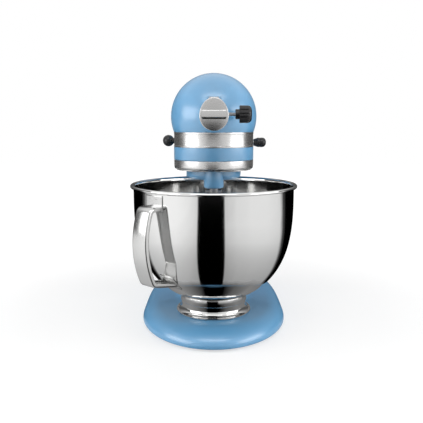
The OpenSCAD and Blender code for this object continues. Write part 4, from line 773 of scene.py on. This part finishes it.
def head_skin(y):
    """The round skin above the band's plane: x = r cos t, z = axis + r sin t, t from -a to 180 + a."""
    radius = head_radius(y)[:, None]
    low = np.arcsin(np.clip(BAND_DROP / np.maximum(radius, 1e-6), 0, 1))
    t = -low + (pi + 2 * low) * np.linspace(0, 1, 73)[None, :]
    depth = np.broadcast_to(y[:, None], t.shape)
    return np.stack([radius * cos(t), BOWL_Y + depth, HEAD_Z + radius * sin(t)], axis=-1)


polar = np.linspace(np.arcsin(HUB_HOLE_R / HEAD_R), np.arcsin(BAND_DROP / HEAD_R), 3)
polar = np.concatenate([polar, np.linspace(polar[-1], pi / 2, 34)[1:]])
cap_y = np.concatenate([-HEAD_R * cos(polar), np.linspace(0, SEAM_Y, 61)[1:]])
head_cap = make_piece("head_cap", "head", [grid(head_skin(cap_y))], SATIN_PAINT, ["upper_housing"])
add_wall(head_cap, SHELL_WALL, SHELL_EDGE)
carve(head_cap, [placed(rod(BORE_R, -80, 80), y=168, z=HEAD_Z, along="x")])

# %% [markdown]
# The rear cover closes the head: the same round skin runs on to its pole, and below the band's plane
# an upright skirt follows the plan of the head and turns into a floor with a small round.

# %% Rear cover
FLOOR_Z = CASE_BOTTOM + 15.0
SKIRT_ROUND = 3.5
REAR_SCREW = dict(z=HEAD_Z + 20, along="y")

plan_end = HEAD_REAR * (1 - (BAND_DROP / HEAD_R) ** 2) ** (1 / REAR_POWER)
skirt_y = SEAM_Y + (plan_end - SEAM_Y) * sin(np.linspace(0, pi / 2, 19))
pole_y = plan_end + (HEAD_REAR - plan_end) * sin(np.linspace(0, pi / 2, 11))[1:]
skirt_x = head_half(skirt_y)
skirt_x[-1] = 0
plan = np.concatenate([np.stack([skirt_x, skirt_y], 1), np.stack([-skirt_x, skirt_y], 1)[-2::-1]])
plan_middle = np.array([0, SEAM_Y])
plan_size = np.linalg.norm(plan - plan_middle, axis=1).mean()
levels = [(BAND_TOP, 1.0), (BAND_BOTTOM, 1.0)]
for a in np.linspace(0, pi / 2, 7):
    levels.append((FLOOR_Z + SKIRT_ROUND * (1 - sin(a)), 1 - SKIRT_ROUND * (1 - cos(a)) / plan_size))
levels += [(FLOOR_Z, k) for k in (0.6, 0.3, 0.0)]
drawn_in = [plan_middle + (plan - plan_middle) * k + [0, BOWL_Y] for z, k in levels]
skirt = np.stack([np.column_stack([ring, np.full(len(plan), z)]) for ring, (z, k) in zip(drawn_in, levels)])
skin = head_skin(np.concatenate([skirt_y, pole_y]))
rear_cover = make_piece("rear_cover_shell", "head", [grid(skin), grid(skirt)], SATIN_PAINT,
                        ["rear_cover"])
add_wall(rear_cover, SHELL_WALL, SHELL_EDGE)
carve(rear_cover, [placed(rod(5, 230, 260), **REAR_SCREW), placed(rod(BORE_R, 240, 262), -18, 216)])
carve(rear_cover, [placed(rod(7, 222, 229.9, 0.5), **REAR_SCREW)], "UNION")

# %% [markdown]
# The gearcase hangs below the band. Its outer wall and its inner wall follow the plan of the head,
# its floor is ruled straight across at each distance, and behind the bowl the floor climbs a ramp.
# The band, the drip ring and the levers' slots are fitted to the same plan.

# %% Walls of the gearcase
BAND_SEAT = 1.22
TOUCH = 0.02            # gap that keeps two faces from lying in each other
LOW_ROUND = 1.2
RAMP_FROM, RAMP_MIDDLE, RAMP_TO = 62.0, 77.0, 92.0
CASE_FLOOR = CASE_BOTTOM + 12.0
SIDE_Y = np.unique(np.concatenate([np.linspace(0, SEAM_Y, 41)[1:], [RAMP_FROM, RAMP_MIDDLE, RAMP_TO]]))


def plan_points(inset):
    """Right half of the plan drawn in by an inset: a circle in front, then the head's own curve."""
    front = np.linspace(0, pi / 2, 30)
    radius = np.sqrt(HEAD_R ** 2 - BAND_DROP ** 2) - inset
    circle = np.stack([radius * sin(front), -radius * cos(front)], axis=1)
    return np.concatenate([circle, np.stack([head_half(SIDE_Y) - inset, SIDE_Y], axis=1)])


def ring_of(points, height, sideways=1.0):
    """Points of the plan lifted to a height, their width scaled."""
    height = np.broadcast_to(height, len(points))
    return np.stack([points[:, 0] * sideways, points[:, 1] + BOWL_Y, height], axis=1)


def both_halves(columns, closed):
    """The right half of a shape from its columns, its mirrored left half, and a lid on both rear ends."""
    right = np.stack(columns, axis=1)
    right[0, :, 0] = 0
    left = (right * [-1, 1, 1])[:, ::-1]
    return [grid(right, False, closed), grid(left, False, closed), lid(right[-1]), lid(left[-1])]


outer, band_seat, inner = (plan_points(k) for k in (0, BAND_SEAT, BAND_SEAT + SHELL_WALL))
floor_low = np.interp(outer[:, 1], [RAMP_FROM, RAMP_TO], [CASE_BOTTOM, FLOOR_Z])
floor_top = np.interp(inner[:, 1], [RAMP_FROM, RAMP_MIDDLE], [CASE_FLOOR, FLOOR_Z + SHELL_WALL])
columns = [ring_of(outer, floor_low, 0.0), ring_of(outer, floor_low, 0.5)]
for a in np.linspace(pi / 2, 0, 5):
    columns.append(ring_of(plan_points(LOW_ROUND * (1 - cos(a))), floor_low + LOW_ROUND * (1 - sin(a))))
columns += [
    ring_of(outer, BAND_BOTTOM - TOUCH), ring_of(band_seat, BAND_BOTTOM - TOUCH),
    ring_of(band_seat, BAND_TOP - TOUCH), ring_of(inner, BAND_TOP - TOUCH),
    ring_of(inner, floor_top), ring_of(inner, floor_top, 0.0)]
gearcase = make_piece("gearcase", "head", both_halves(columns, False), SATIN_PAINT,
                      ["lower_gearcase"])

# %% [markdown]
# Bearing bosses and screw posts grow from the gearcase's floor, and the hinge's tongue hangs behind.
# Then the bores, the ring gear's pocket and the slots of the two levers are cut.

# %% Bosses, bores and slots of the gearcase
HINGE = dict(y=170.0, z=HEAD_Z - 62.1, along="x")
HINGE_Z = HINGE["z"]
WHEEL = (25.0, 37.417)
BORE_TOP = CASE_BOTTOM + 45

posts = [(side * x, y) for side in (-1, 1) for x, y in ((44, 62), (42, 152))]
tongue = placed(rod(19, -26, 26, 0.8, 128), **HINGE)
neck = block([-26, 155, HINGE_Z], [26, 185, FLOOR_Z + 1])
added = [tongue, neck, standing(14, 0, 0, CASE_FLOOR - 1, CASE_FLOOR + 9, 0.5),
         standing(9, *WHEEL, CASE_FLOOR - 1, CASE_FLOOR + 7.9, 0.5),
         standing(3, -30, 89.55, FLOOR_Z + 2, HEAD_Z - 31.6, 0.3)]
for x, y in posts:
    added.append(standing(5, x, y, FLOOR_Z + 2 if y > RAMP_FROM else CASE_FLOOR - 1, BAND_TOP - TOUCH))
carve(gearcase, added, "UNION")

ring_pocket_r = np.ptp(node_box("ring_gear")[:, 0]) / 2 + 0.15
lever_slots = [block([-80, 78.55, HEAD_Z - 38.6], [-30, 100.55, HEAD_Z - 31.6]),
               block([30, 114.8, HEAD_Z - 38.5], [80, 133.2, HEAD_Z - 32.7])]
holes = [placed(rod(BORE_R, -40, 40), **HINGE), block([20, 114, FLOOR_Z - 2], [32, 142, FLOOR_Z + 6]),
         standing(ring_pocket_r, 0, 0, CASE_BOTTOM - 1, CASE_BOTTOM + 7),
         standing(10.07, 0, 0, CASE_BOTTOM, BORE_TOP), standing(6.07, *WHEEL, CASE_FLOOR - 3, BORE_TOP)]
holes += [standing(2.02, x, y, CASE_BOTTOM - 1, BORE_TOP) for x, y in posts]
carve(gearcase, holes + lever_slots)
print("gearcase after cutting has", len(gearcase.data.polygons), "faces")

# %% [markdown]
# The trim band is a thin strip of brushed steel let into the gearcase, with a raised border on both sides.
# The ring under the head is turned: it catches drips, so its lower edge is round and turned in.

# %% Trim band and drip ring
BAND_SHEET = 1.2
BORDER = 2.0
SINK = 0.3
DRIP_R = node_box("drip_ring")[1, 0]
DRIP_IN = 46.4
DRIP_H = 13.8

band_section = rounded(
    [[0, BAND_BOTTOM], [0, BAND_BOTTOM + BORDER], [SINK, BAND_BOTTOM + BORDER + 0.4],
     [SINK, BAND_TOP - BORDER - 0.4], [0, BAND_TOP - BORDER], [0, BAND_TOP - TOUCH],
     [BAND_SHEET, BAND_TOP - TOUCH], [BAND_SHEET, BAND_BOTTOM]],
    [0.4, 0.3, 0.25, 0.25, 0.3, 0.4, 0.05, 0.05], steps=3)
band_columns = [ring_of(plan_points(inset), z) for inset, z in band_section]
trim_band = make_piece("trim_band_strip", "head", both_halves(band_columns, True), BRUSHED_STEEL,
                       ["trim_band"], crease=50)
carve(trim_band, lever_slots, crease=50)

drip_outline = [0, CASE_BOTTOM - DRIP_H] + rounded(
    [[DRIP_IN, DRIP_H - TOUCH], [DRIP_R, DRIP_H - TOUCH], [DRIP_R, 0], [DRIP_R - 7, 0],
     [DRIP_R - 7, 5], [DRIP_R - 3, 5], [DRIP_R - 3, 10.8], [DRIP_IN, 10.8]],
    [0.3, 0.4, 5, 0.8, 0.5, 0.5, 0.5, 0.3], steps=8)
make_piece("drip_ring_turned", "head", [placed(turned(drip_outline, 200))], BRUSHED_STEEL,
           ["drip_ring"], crease=50)

# %% [markdown]
# The attachment hub opens in the head's front. Its steel socket is turned, with a bore for the thumb screw.
# Two small painted lugs above it carry the pin that the cover swings on.

# %% Attachment hub
THUMB = dict(y=-70.0, z=HEAD_Z + 2.3, along="x")
HUB_PIN = dict(y=-77.0, z=HEAD_Z + 20.4, along="x")


def pressed(outline, low, high):
    """A flat shape of y and z, counted from the bowl's and the head's axis, made thick along x."""
    outline = outline + [BOWL_Y, HEAD_Z]
    levels = np.stack([np.column_stack([np.full(len(outline), x), outline]) for x in (low, high)])
    return [grid(levels, False, True), lid(levels[0]), lid(levels[1])]


socket_outline = rounded([[13.5, -80], [17.2, -80], [17.2, -48], [8.05, -48], [8.05, -58], [13.5, -58]],
                         [0.5, 0.6, 0.3, 0.3, 0.3, 0.5])
socket = placed(turned(socket_outline, 160), z=HEAD_Z, along="y")
hub_socket = make_piece("hub_socket_turned", "head", [socket], MACHINED_STEEL, ["hub_socket"])
carve(hub_socket, [placed(rod(2.35, 5, 30), **THUMB)])

lug_outline = rounded([[-80, 14.2], [-80, 23.4], [-74, 23.4], [-71, 14.2]], [0.2, 2.6, 2.6, 0.2])
hub_lugs = make_piece("hub_lugs", "head", pressed(lug_outline, 6, 9) + pressed(lug_outline, -9, -6),
                      SATIN_PAINT)
round_edges(hub_lugs, 0.4)

# %% [markdown]
# The cover is a domed disc, taller above the middle than below, with a wedge across it to lift it by.
# A groove is cut under the wedge and a black block in it paints the shade there, and a tab at the top
# reaches back around the pin.
# No lettering stands on it.

# %% Hub cover
COVER_R = 17.8
COVER_UP = 22.4
COVER_BACK = -80.3
COVER_EDGE = 1.1
COVER_THICK = 3.4
DOME = 1.3
WEDGE_HALF = 14.9

cover_turn = np.linspace(0, 2 * pi, 120, endpoint=False)
cover_x = COVER_R * cos(cover_turn)
cover_z = np.where(sin(cover_turn) > 0, COVER_UP, COVER_R) * sin(cover_turn)


def cover_ring(scale, depth):
    """One ring of the cover's points, this far in front of its back."""
    y = np.full_like(cover_x, BOWL_Y + COVER_BACK - depth)
    return np.stack([cover_x * scale, y, HEAD_Z + cover_z * scale], axis=1)


def cover_block(half, front, back, low, high):
    """A block across the cover, between two distances in front of its back and two heights."""
    return block([-half, COVER_BACK - front, HEAD_Z + low], [half, COVER_BACK - back, HEAD_Z + high])


bend = np.linspace(0, pi / 2, 6)
rim_in = 1 - COVER_EDGE / COVER_R * (1 - cos(bend))
cover_rings = [cover_ring(k, 0) for k in (0.0, 0.5, 0.985)] + [cover_ring(1.0, 0.3)]
cover_rings += [cover_ring(k, COVER_THICK + COVER_EDGE * sin(a)) for k, a in zip(rim_in, bend)]
for k in np.linspace(rim_in[-1], 0, 14)[1:]:
    cover_rings.append(cover_ring(k, COVER_THICK + COVER_EDGE + DOME * (1 - (k / rim_in[-1]) ** 2)))
hub_cover = make_piece("hub_cover_disc", "cover_flap", [grid(np.stack(cover_rings), False, True)],
                       BRUSHED_STEEL, ["hub_cover"])
wedge_outline = [COVER_BACK, 0] + rounded(
    [[-3.0, 8.2], [-5.9, 7.0], [-7.2, -1.4], [-6.2, -2.4], [-3.0, -2.2]], [0.1, 1.6, 0.9, 0.5, 0.1])
tab = [placed(rod(2.6, -5.7, 5.7, 0.3, 48), **HUB_PIN), cover_block(5.7, 1, -3.3, 19.4, 23.0)]
carve(hub_cover, tab + pressed(wedge_outline, -WEDGE_HALF, WEDGE_HALF), "UNION")
carve(hub_cover, [cover_block(14.2, 9, 3.2, -3.7, -2.2), placed(rod(1.55, -9, 9), **HUB_PIN)])
# A black block set in the groove under the wedge is painted shade.
painted_shade_block = cover_block(14.1, 4.2, 3.3, -3.65, -2.25)
make_piece("hub_cover_painted_shade", "cover_flap", [painted_shade_block], BLACK_RUBBER)

# %% [markdown]
# The thumb screw is a steel stem with a thread and a black knob. The knob is turned,
# and its twelve flutes are a ripple of the radius: r (1 - 0.10 max(0, cos 12a)^1.5).

# %% Thumb screw
STEM_R = 2.3
THREAD_R = 2.02
FLUTES = 12
FLUTE_DEPTH = 0.10

thread_x = np.arange(16.5, 29.0, 0.4)
thread = np.stack([np.where(np.arange(len(thread_x)) % 2, STEM_R, THREAD_R), thread_x], axis=1)
stem_outline = np.vstack([
    [[0, 14.5], [1.8, 14.5], [STEM_R, 15.0], [STEM_R, 16.1]], thread,
    [[STEM_R, 29.4], [STEM_R, 36.3], [0, 36.3]]])
stem = placed(turned(stem_outline, 40), **THUMB)
make_piece("thumbscrew_stem_threaded", "thumb_stem", [stem], MACHINED_STEEL,
           ["thumbscrew_stem"], crease=50)


def spaced(outline, step):
    """An outline with more points, no two further apart than this step along a straight side."""
    outline = np.asarray(outline, dtype=float)
    lengths = np.linalg.norm(np.diff(outline, axis=0), axis=1)
    whole = np.concatenate([[0], np.cumsum(lengths)])
    places = np.unique(np.round(np.concatenate([whole, np.arange(0, whole[-1], step)]), 3))
    return np.stack([np.interp(places, whole, column) for column in outline.T], axis=1)


def flutes(angle, height):
    """Twelve flutes that start behind the knob's collar and fade out before its rounded end."""
    deep = np.clip((height - 31.4) / 0.3, 0, 1) * np.clip((46.0 - height) / 5, 0, 1)
    return 1 - FLUTE_DEPTH * deep * np.clip(cos(FLUTES * angle), 0, 1) ** 1.5


knob_outline = spaced(np.vstack([
    [[2.35, 26.3]],
    rounded([[5.0, 26.3], [6.2, 26.4], [6.2, 31.2], [10.0, 31.2], [10.8, 31.6], [10.8, 46.5], [0, 46.5]],
            [0, 0.7, 0.3, 0.3, 0.5, 5.6, 0], steps=10),
    [[0, 36.35], [2.35, 36.35]]]), 1.0)
knob = placed(turned(knob_outline, 240, flutes), **THUMB)
make_piece("thumbscrew_knob_fluted", "thumb_knob", [knob], BLACK_PLASTIC,
           ["thumbscrew_knob"], crease=50)

# %% [markdown]
# The speed lever ends in a black ball with a short collar, and the head lock in a bullet-shaped knob.
# Both are turned; the ball's outline is a circle that runs into the collar.

# %% Speed ball and lock knob
BALL_R = 8.7
COLLAR_R = 4.2
LEVER_TURN = np.radians(15)
BALL_BORE = 2.22
LOCK_BORE = 3.02


def swung(part, turn):
    """A part turned clockwise as seen from above: x' = x cos + y sin and y' = y cos - x sin."""
    points, faces = part
    x, y, z = points.T
    c, s = cos(turn), sin(turn)
    return np.stack([x * c + y * s, y * c - x * s, z], axis=1), faces


ball_box = node_box("speed_knob")
ball_center = (ball_box[0, 0] + BALL_R, *ball_box[:, 1:].mean(axis=0))
ball_outline = np.vstack([
    [[BALL_BORE, -9.7]],
    rounded([[3.4, -9.7], [COLLAR_R, -9.6], [COLLAR_R, -7.7]], [0, 0.4, 0]),
    arc((0, 0), BALL_R, -np.degrees(np.arccos(COLLAR_R / BALL_R)), 90, 39),
    [[0, 3.4 - BALL_R], [BALL_BORE, 3.4 - BALL_R]]])
ball = swung(moved(turned(ball_outline, 96), along="-x"), LEVER_TURN)
make_piece("speed_lever_ball", "speed_control", [moved(ball, ball_center)],
           BLACK_PLASTIC, ["speed_knob"], crease=50)

lock_box = node_box("lock_knob")
lock_place = (lock_box[0, 0], *lock_box[:, 1:].mean(axis=0))
lock_outline = np.vstack([
    [[LOCK_BORE, 0]],
    rounded([[4.3, 0], [5.0, 0.1], [7.2, 6.5], [7.4, 9.2], [6.9, 9.7], [6.9, 10.3], [7.4, 10.8],
             [7.4, 19.5], [0, 19.5]], [0, 0.4, 2.0, 0.3, 0.2, 0.2, 0.3, 6.0, 0], steps=10),
    [[0, 6.0], [LOCK_BORE, 6.0]]])
make_piece("lock_lever_knob", "head_lock", [moved(turned(lock_outline, 96), lock_place, "x")],
           BLACK_PLASTIC, ["lock_knob"], crease=50)

# %% [markdown]
# Under the head the planetary turns: a painted disc with a rounded lower edge,
# and off its centre a round boss that carries the beater's shaft.

# %% Planetary
DISC_R = 37
BOSS_R = 13
SHAFT_BORE = 8.07
BEATER_Y = -28.875
DISC_LOW = HEAD_Z - 83.1
DISC_TOP = CASE_BOTTOM - 3
BOSS_LOW = DISC_LOW - 10.3

disc_outline = np.vstack([
    [[0, DISC_LOW]],
    rounded([[24, DISC_LOW], [DISC_R, DISC_LOW], [DISC_R, DISC_LOW + 23]], [0, 6, 0], steps=12),
    [[DISC_R, DISC_TOP], [SHAFT_BORE, DISC_TOP], [SHAFT_BORE, DISC_LOW + 4], [0, DISC_LOW + 4]]])
boss_outline = np.vstack([
    [[0, BOSS_LOW]],
    rounded([[6, BOSS_LOW], [BOSS_R, BOSS_LOW], [BOSS_R, BOSS_LOW + 20]], [0, 2.2, 0]),
    [[BOSS_R, DISC_TOP - 6], [0, DISC_TOP - 6]]])
planetary = make_piece("planetary_disc", "drive", [placed(turned(disc_outline, 200))],
                       SATIN_PAINT, ["planetary"])
carve(planetary, [placed(turned(boss_outline, 96), y=BEATER_Y)], "UNION")
carve(planetary, [standing(6.4, 0, BEATER_Y, BOSS_LOW - 5, DISC_TOP + 5)])

# %% [markdown]
# The column carries the head. It is lofted: every level is a rounded rectangle |x / a|^n + |y / b|^n = 1,
# wide and soft at the foot and narrow and square at the top, where a slot takes the head's hinge tongue.

# %% Column
COLUMN_TOP = HINGE_Z + 8
TOP_ROUND = 2.5
SLOT_HALF = 26.3
SCREW_BORE = 3.02
column_turn = np.linspace(0, 2 * pi, 160, endpoint=False)


def column_level(z, inset=0.0):
    """One level of the column: t runs from the foot to the top, the power 2 / n from 0.91 to 0.5."""
    t = np.clip((z - BASE_TOP) / (COLUMN_TOP - BASE_TOP), 0, 1)
    front = 86 + 50 * t ** 0.5 + inset
    rear = 187 + 31 * (1 - t) ** 2.2 - inset
    half = 44 + 26 * (1 - t) ** 2.5 - inset
    power = 2 / (2.2 + 1.8 * t)
    c, s = cos(column_turn), sin(column_turn)
    x = half * np.sign(c) * np.abs(c) ** power
    y = (front + rear) / 2 + (rear - front) / 2 * np.sign(s) * np.abs(s) ** power
    return np.stack([x, y, np.full_like(x, z)], axis=1)


heights = BASE_TOP + (COLUMN_TOP - TOP_ROUND - BASE_TOP) * np.linspace(0, 1, 40) ** 1.5
levels = [column_level(z) for z in heights + TOUCH]
for a in np.linspace(0.3, pi / 2, 5):
    levels.append(column_level(COLUMN_TOP - TOP_ROUND * (1 - sin(a)), TOP_ROUND * (1 - cos(a))))
closing = [np.broadcast_to(ring.mean(axis=0), ring.shape) for ring in (levels[0], levels[-1])]
shaft = placed(grid(np.stack([closing[0], *levels, closing[1]]), False, True))
column = make_piece("column_casting", "stand", [shaft], SATIN_PAINT, ["column"])
ears = [placed(rod(19, low, high, 1.2, 128), **HINGE) for low, high in ((-44, -SLOT_HALF), (SLOT_HALF, 44))]
carve(column, ears + [block([15, 133.5, 230], [37, 146, 249])], "UNION")
carve(column, [
    block([-SLOT_HALF, 150, 212], [SLOT_HALF, 260, 290]), block([20, 132, 234], [32, 143, 243]),
    placed(rod(7, -60, 60), **HINGE), standing(SCREW_BORE, -14, 144, COLUMN_TOP - 16, COLUMN_TOP + 2),
    standing(SCREW_BORE, 35.15, 170, HINGE_Z, HINGE_Z + 30)])

# %% [markdown]
# The bowl's handle is a pressed strap with folded sides, so its section is a wide shallow C.
# It is carried along a path in the plane through the bowl's axis: out from the bowl, round a small corner,
# down a long bow of 120 mm radius, and back in.

# %% Bowl handle
HANDLE_TURN = np.radians(42.5)
BOW_R = 120.0
ARM_R = 9.0
STRAP_HALF = 13.0
STRAP_SHEET = 1.6
FLANGE = 5.5
CROWN = 0.8


def in_handle_plane(points, sideways):
    """World points from distance and height in the handle's plane, moved sideways out of it."""
    c, s = cos(HANDLE_TURN), sin(HANDLE_TURN)
    distance, height = points[..., 0], points[..., 1]
    return np.stack([-distance * s + sideways * c, BOWL_Y - distance * c - sideways * s, height], axis=-1)


bow_center = np.array([BOWL_R + 26.4 - BOW_R, SHOULDER_Z - 51.0])
top_corner, low_corner = arc(bow_center, BOW_R - ARM_R, 20, -24, 1)
low_bend = arc(low_corner, ARM_R, -24, -80, 8)
strap_top = top_corner[1] + ARM_R
seat_z = SHOULDER_Z - 107.0
strap_path = np.vstack([
    spaced([[BOWL_R - 0.6, strap_top], [top_corner[0], strap_top]], 3)[:-1],
    arc(top_corner, ARM_R, 90, 20, 10), arc(bow_center, BOW_R, 20, -24, 40)[1:], low_bend[1:],
    spaced([low_bend[-1], [bowl_radius(seat_z) - 2.5, seat_z - 5]], 3)[1:]])
along = unit(np.gradient(strap_path, axis=0))
outwards = np.stack([-along[:, 1], along[:, 0]], axis=1)
fold = STRAP_HALF - STRAP_SHEET
strap_section = rounded(
    [[-STRAP_HALF, FLANGE], [-STRAP_HALF, 0], [STRAP_HALF, 0], [STRAP_HALF, FLANGE],
     [fold, FLANGE], [fold, STRAP_SHEET], [-fold, STRAP_SHEET], [-fold, FLANGE]],
    [0.6, 2.4, 2.4, 0.6, 0.6, 1.0, 1.0, 0.6], steps=5)
sideways, depth = strap_section[None, :, 0], strap_section[None, :, 1]
lift = CROWN * (1 - (sideways / STRAP_HALF) ** 2) - depth
strap = in_handle_plane(strap_path[:, None, :] + outwards[:, None, :] * lift[..., None], sideways)
make_piece("bowl_handle_strap", "bowl_set", [grid(strap, False, True), lid(strap[0]), lid(strap[-1])],
           SATIN_STEEL, ["bowl_handle"])

# %% [markdown]
# Each end of the handle is welded on a plate that follows the bowl. The spot welds leave small dimples.

# %% Plates of the handle
PLATE = 1.4


def bracket(z_low, z_high, half_low, half_high):
    """A plate that follows the bowl around the handle's plane, its width changing from bottom to top."""
    z = np.linspace(z_low, z_high, 14)[:, None]
    width = half_low + (half_high - half_low) * (z - z_low) / (z_high - z_low)
    radius = bowl_radius(z) + PLATE
    turn = np.linspace(-1, 1, 25)[None, :] * width / radius
    points = np.stack([radius * cos(turn), np.broadcast_to(z, turn.shape)], axis=-1)
    return grid(in_handle_plane(points, radius * sin(turn)))


plates = [bracket(strap_top - 7.5, strap_top + 13.5, 14.5, 14.5),
          bracket(seat_z - 9, seat_z + 9, 15.5, 12.5)]
brackets = make_piece("handle_brackets", "bowl_set", plates, SATIN_STEEL)
add_wall(brackets, PLATE - 0.1, 0.35)
weld = swung(moved(rod(0.9, 0.8, 6, 0, 24), along="-y"), HANDLE_TURN)
dimples = []
for z, across in ((strap_top + 9, -6), (strap_top + 9, 5), (seat_z + 5.5, 0), (seat_z - 5.5, 0)):
    dimples.append(moved(weld, in_handle_plane(np.array([bowl_radius(z), z]), across)))
carve(brackets, dimples)

# %% [markdown]
# Every CAD part that keeps its own mesh gets the finish of what it is made of.
# The list below names the finish once for each group of parts.

# %% Finishes of the carried-over CAD parts
FINISH_OF = {
    MACHINED_STEEL: [
        "hinge_pin", "hinge_set_screw", "height_screw", "hub_cover_pin", "lock_lever", "lock_hook",
        "speed_lever", "armature_shaft", "worm", "worm_wheel_shaft", "wheel_pinion", "center_gear",
        "planetary_shaft", "hub_gear", "hub_shaft", "ring_gear", "planetary_pin", "planet_pinion",
        "beater_shaft", "beater_pin", "clamp_plate"],
    ZINC_STEEL: [
        "clamp_plate_screws", "column_screws", "rear_cover_screw", "housing_screws", "brush_springs"],
    BLACK_PLASTIC: ["brush_caps", "cooling_fan"],
    BLACK_RUBBER: ["cord_inlet"],
    LAMINATIONS: ["motor_field", "armature_core"],
    ENAMELLED_COPPER: ["field_coils", "armature_windings", "commutator"],
    SINTERED_BRONZE: ["motor_bearings", "shaft_bushes", "worm_wheel"],
    TURNED_BRASS: ["brush_holders"],
    CARBON: ["carbon_brushes"],
    CAST_ALLOY: ["gear_bracket", "rear_bracket"],
    CIRCUIT_BOARD: ["speed_board"],
}
for material, names in FINISH_OF.items():
    for name in names:
        for slot in NODES[name].material_slots:
            slot.material = material
print(sum(len(names) for names in FINISH_OF.values()), "CAD parts finished of", len(NODES))
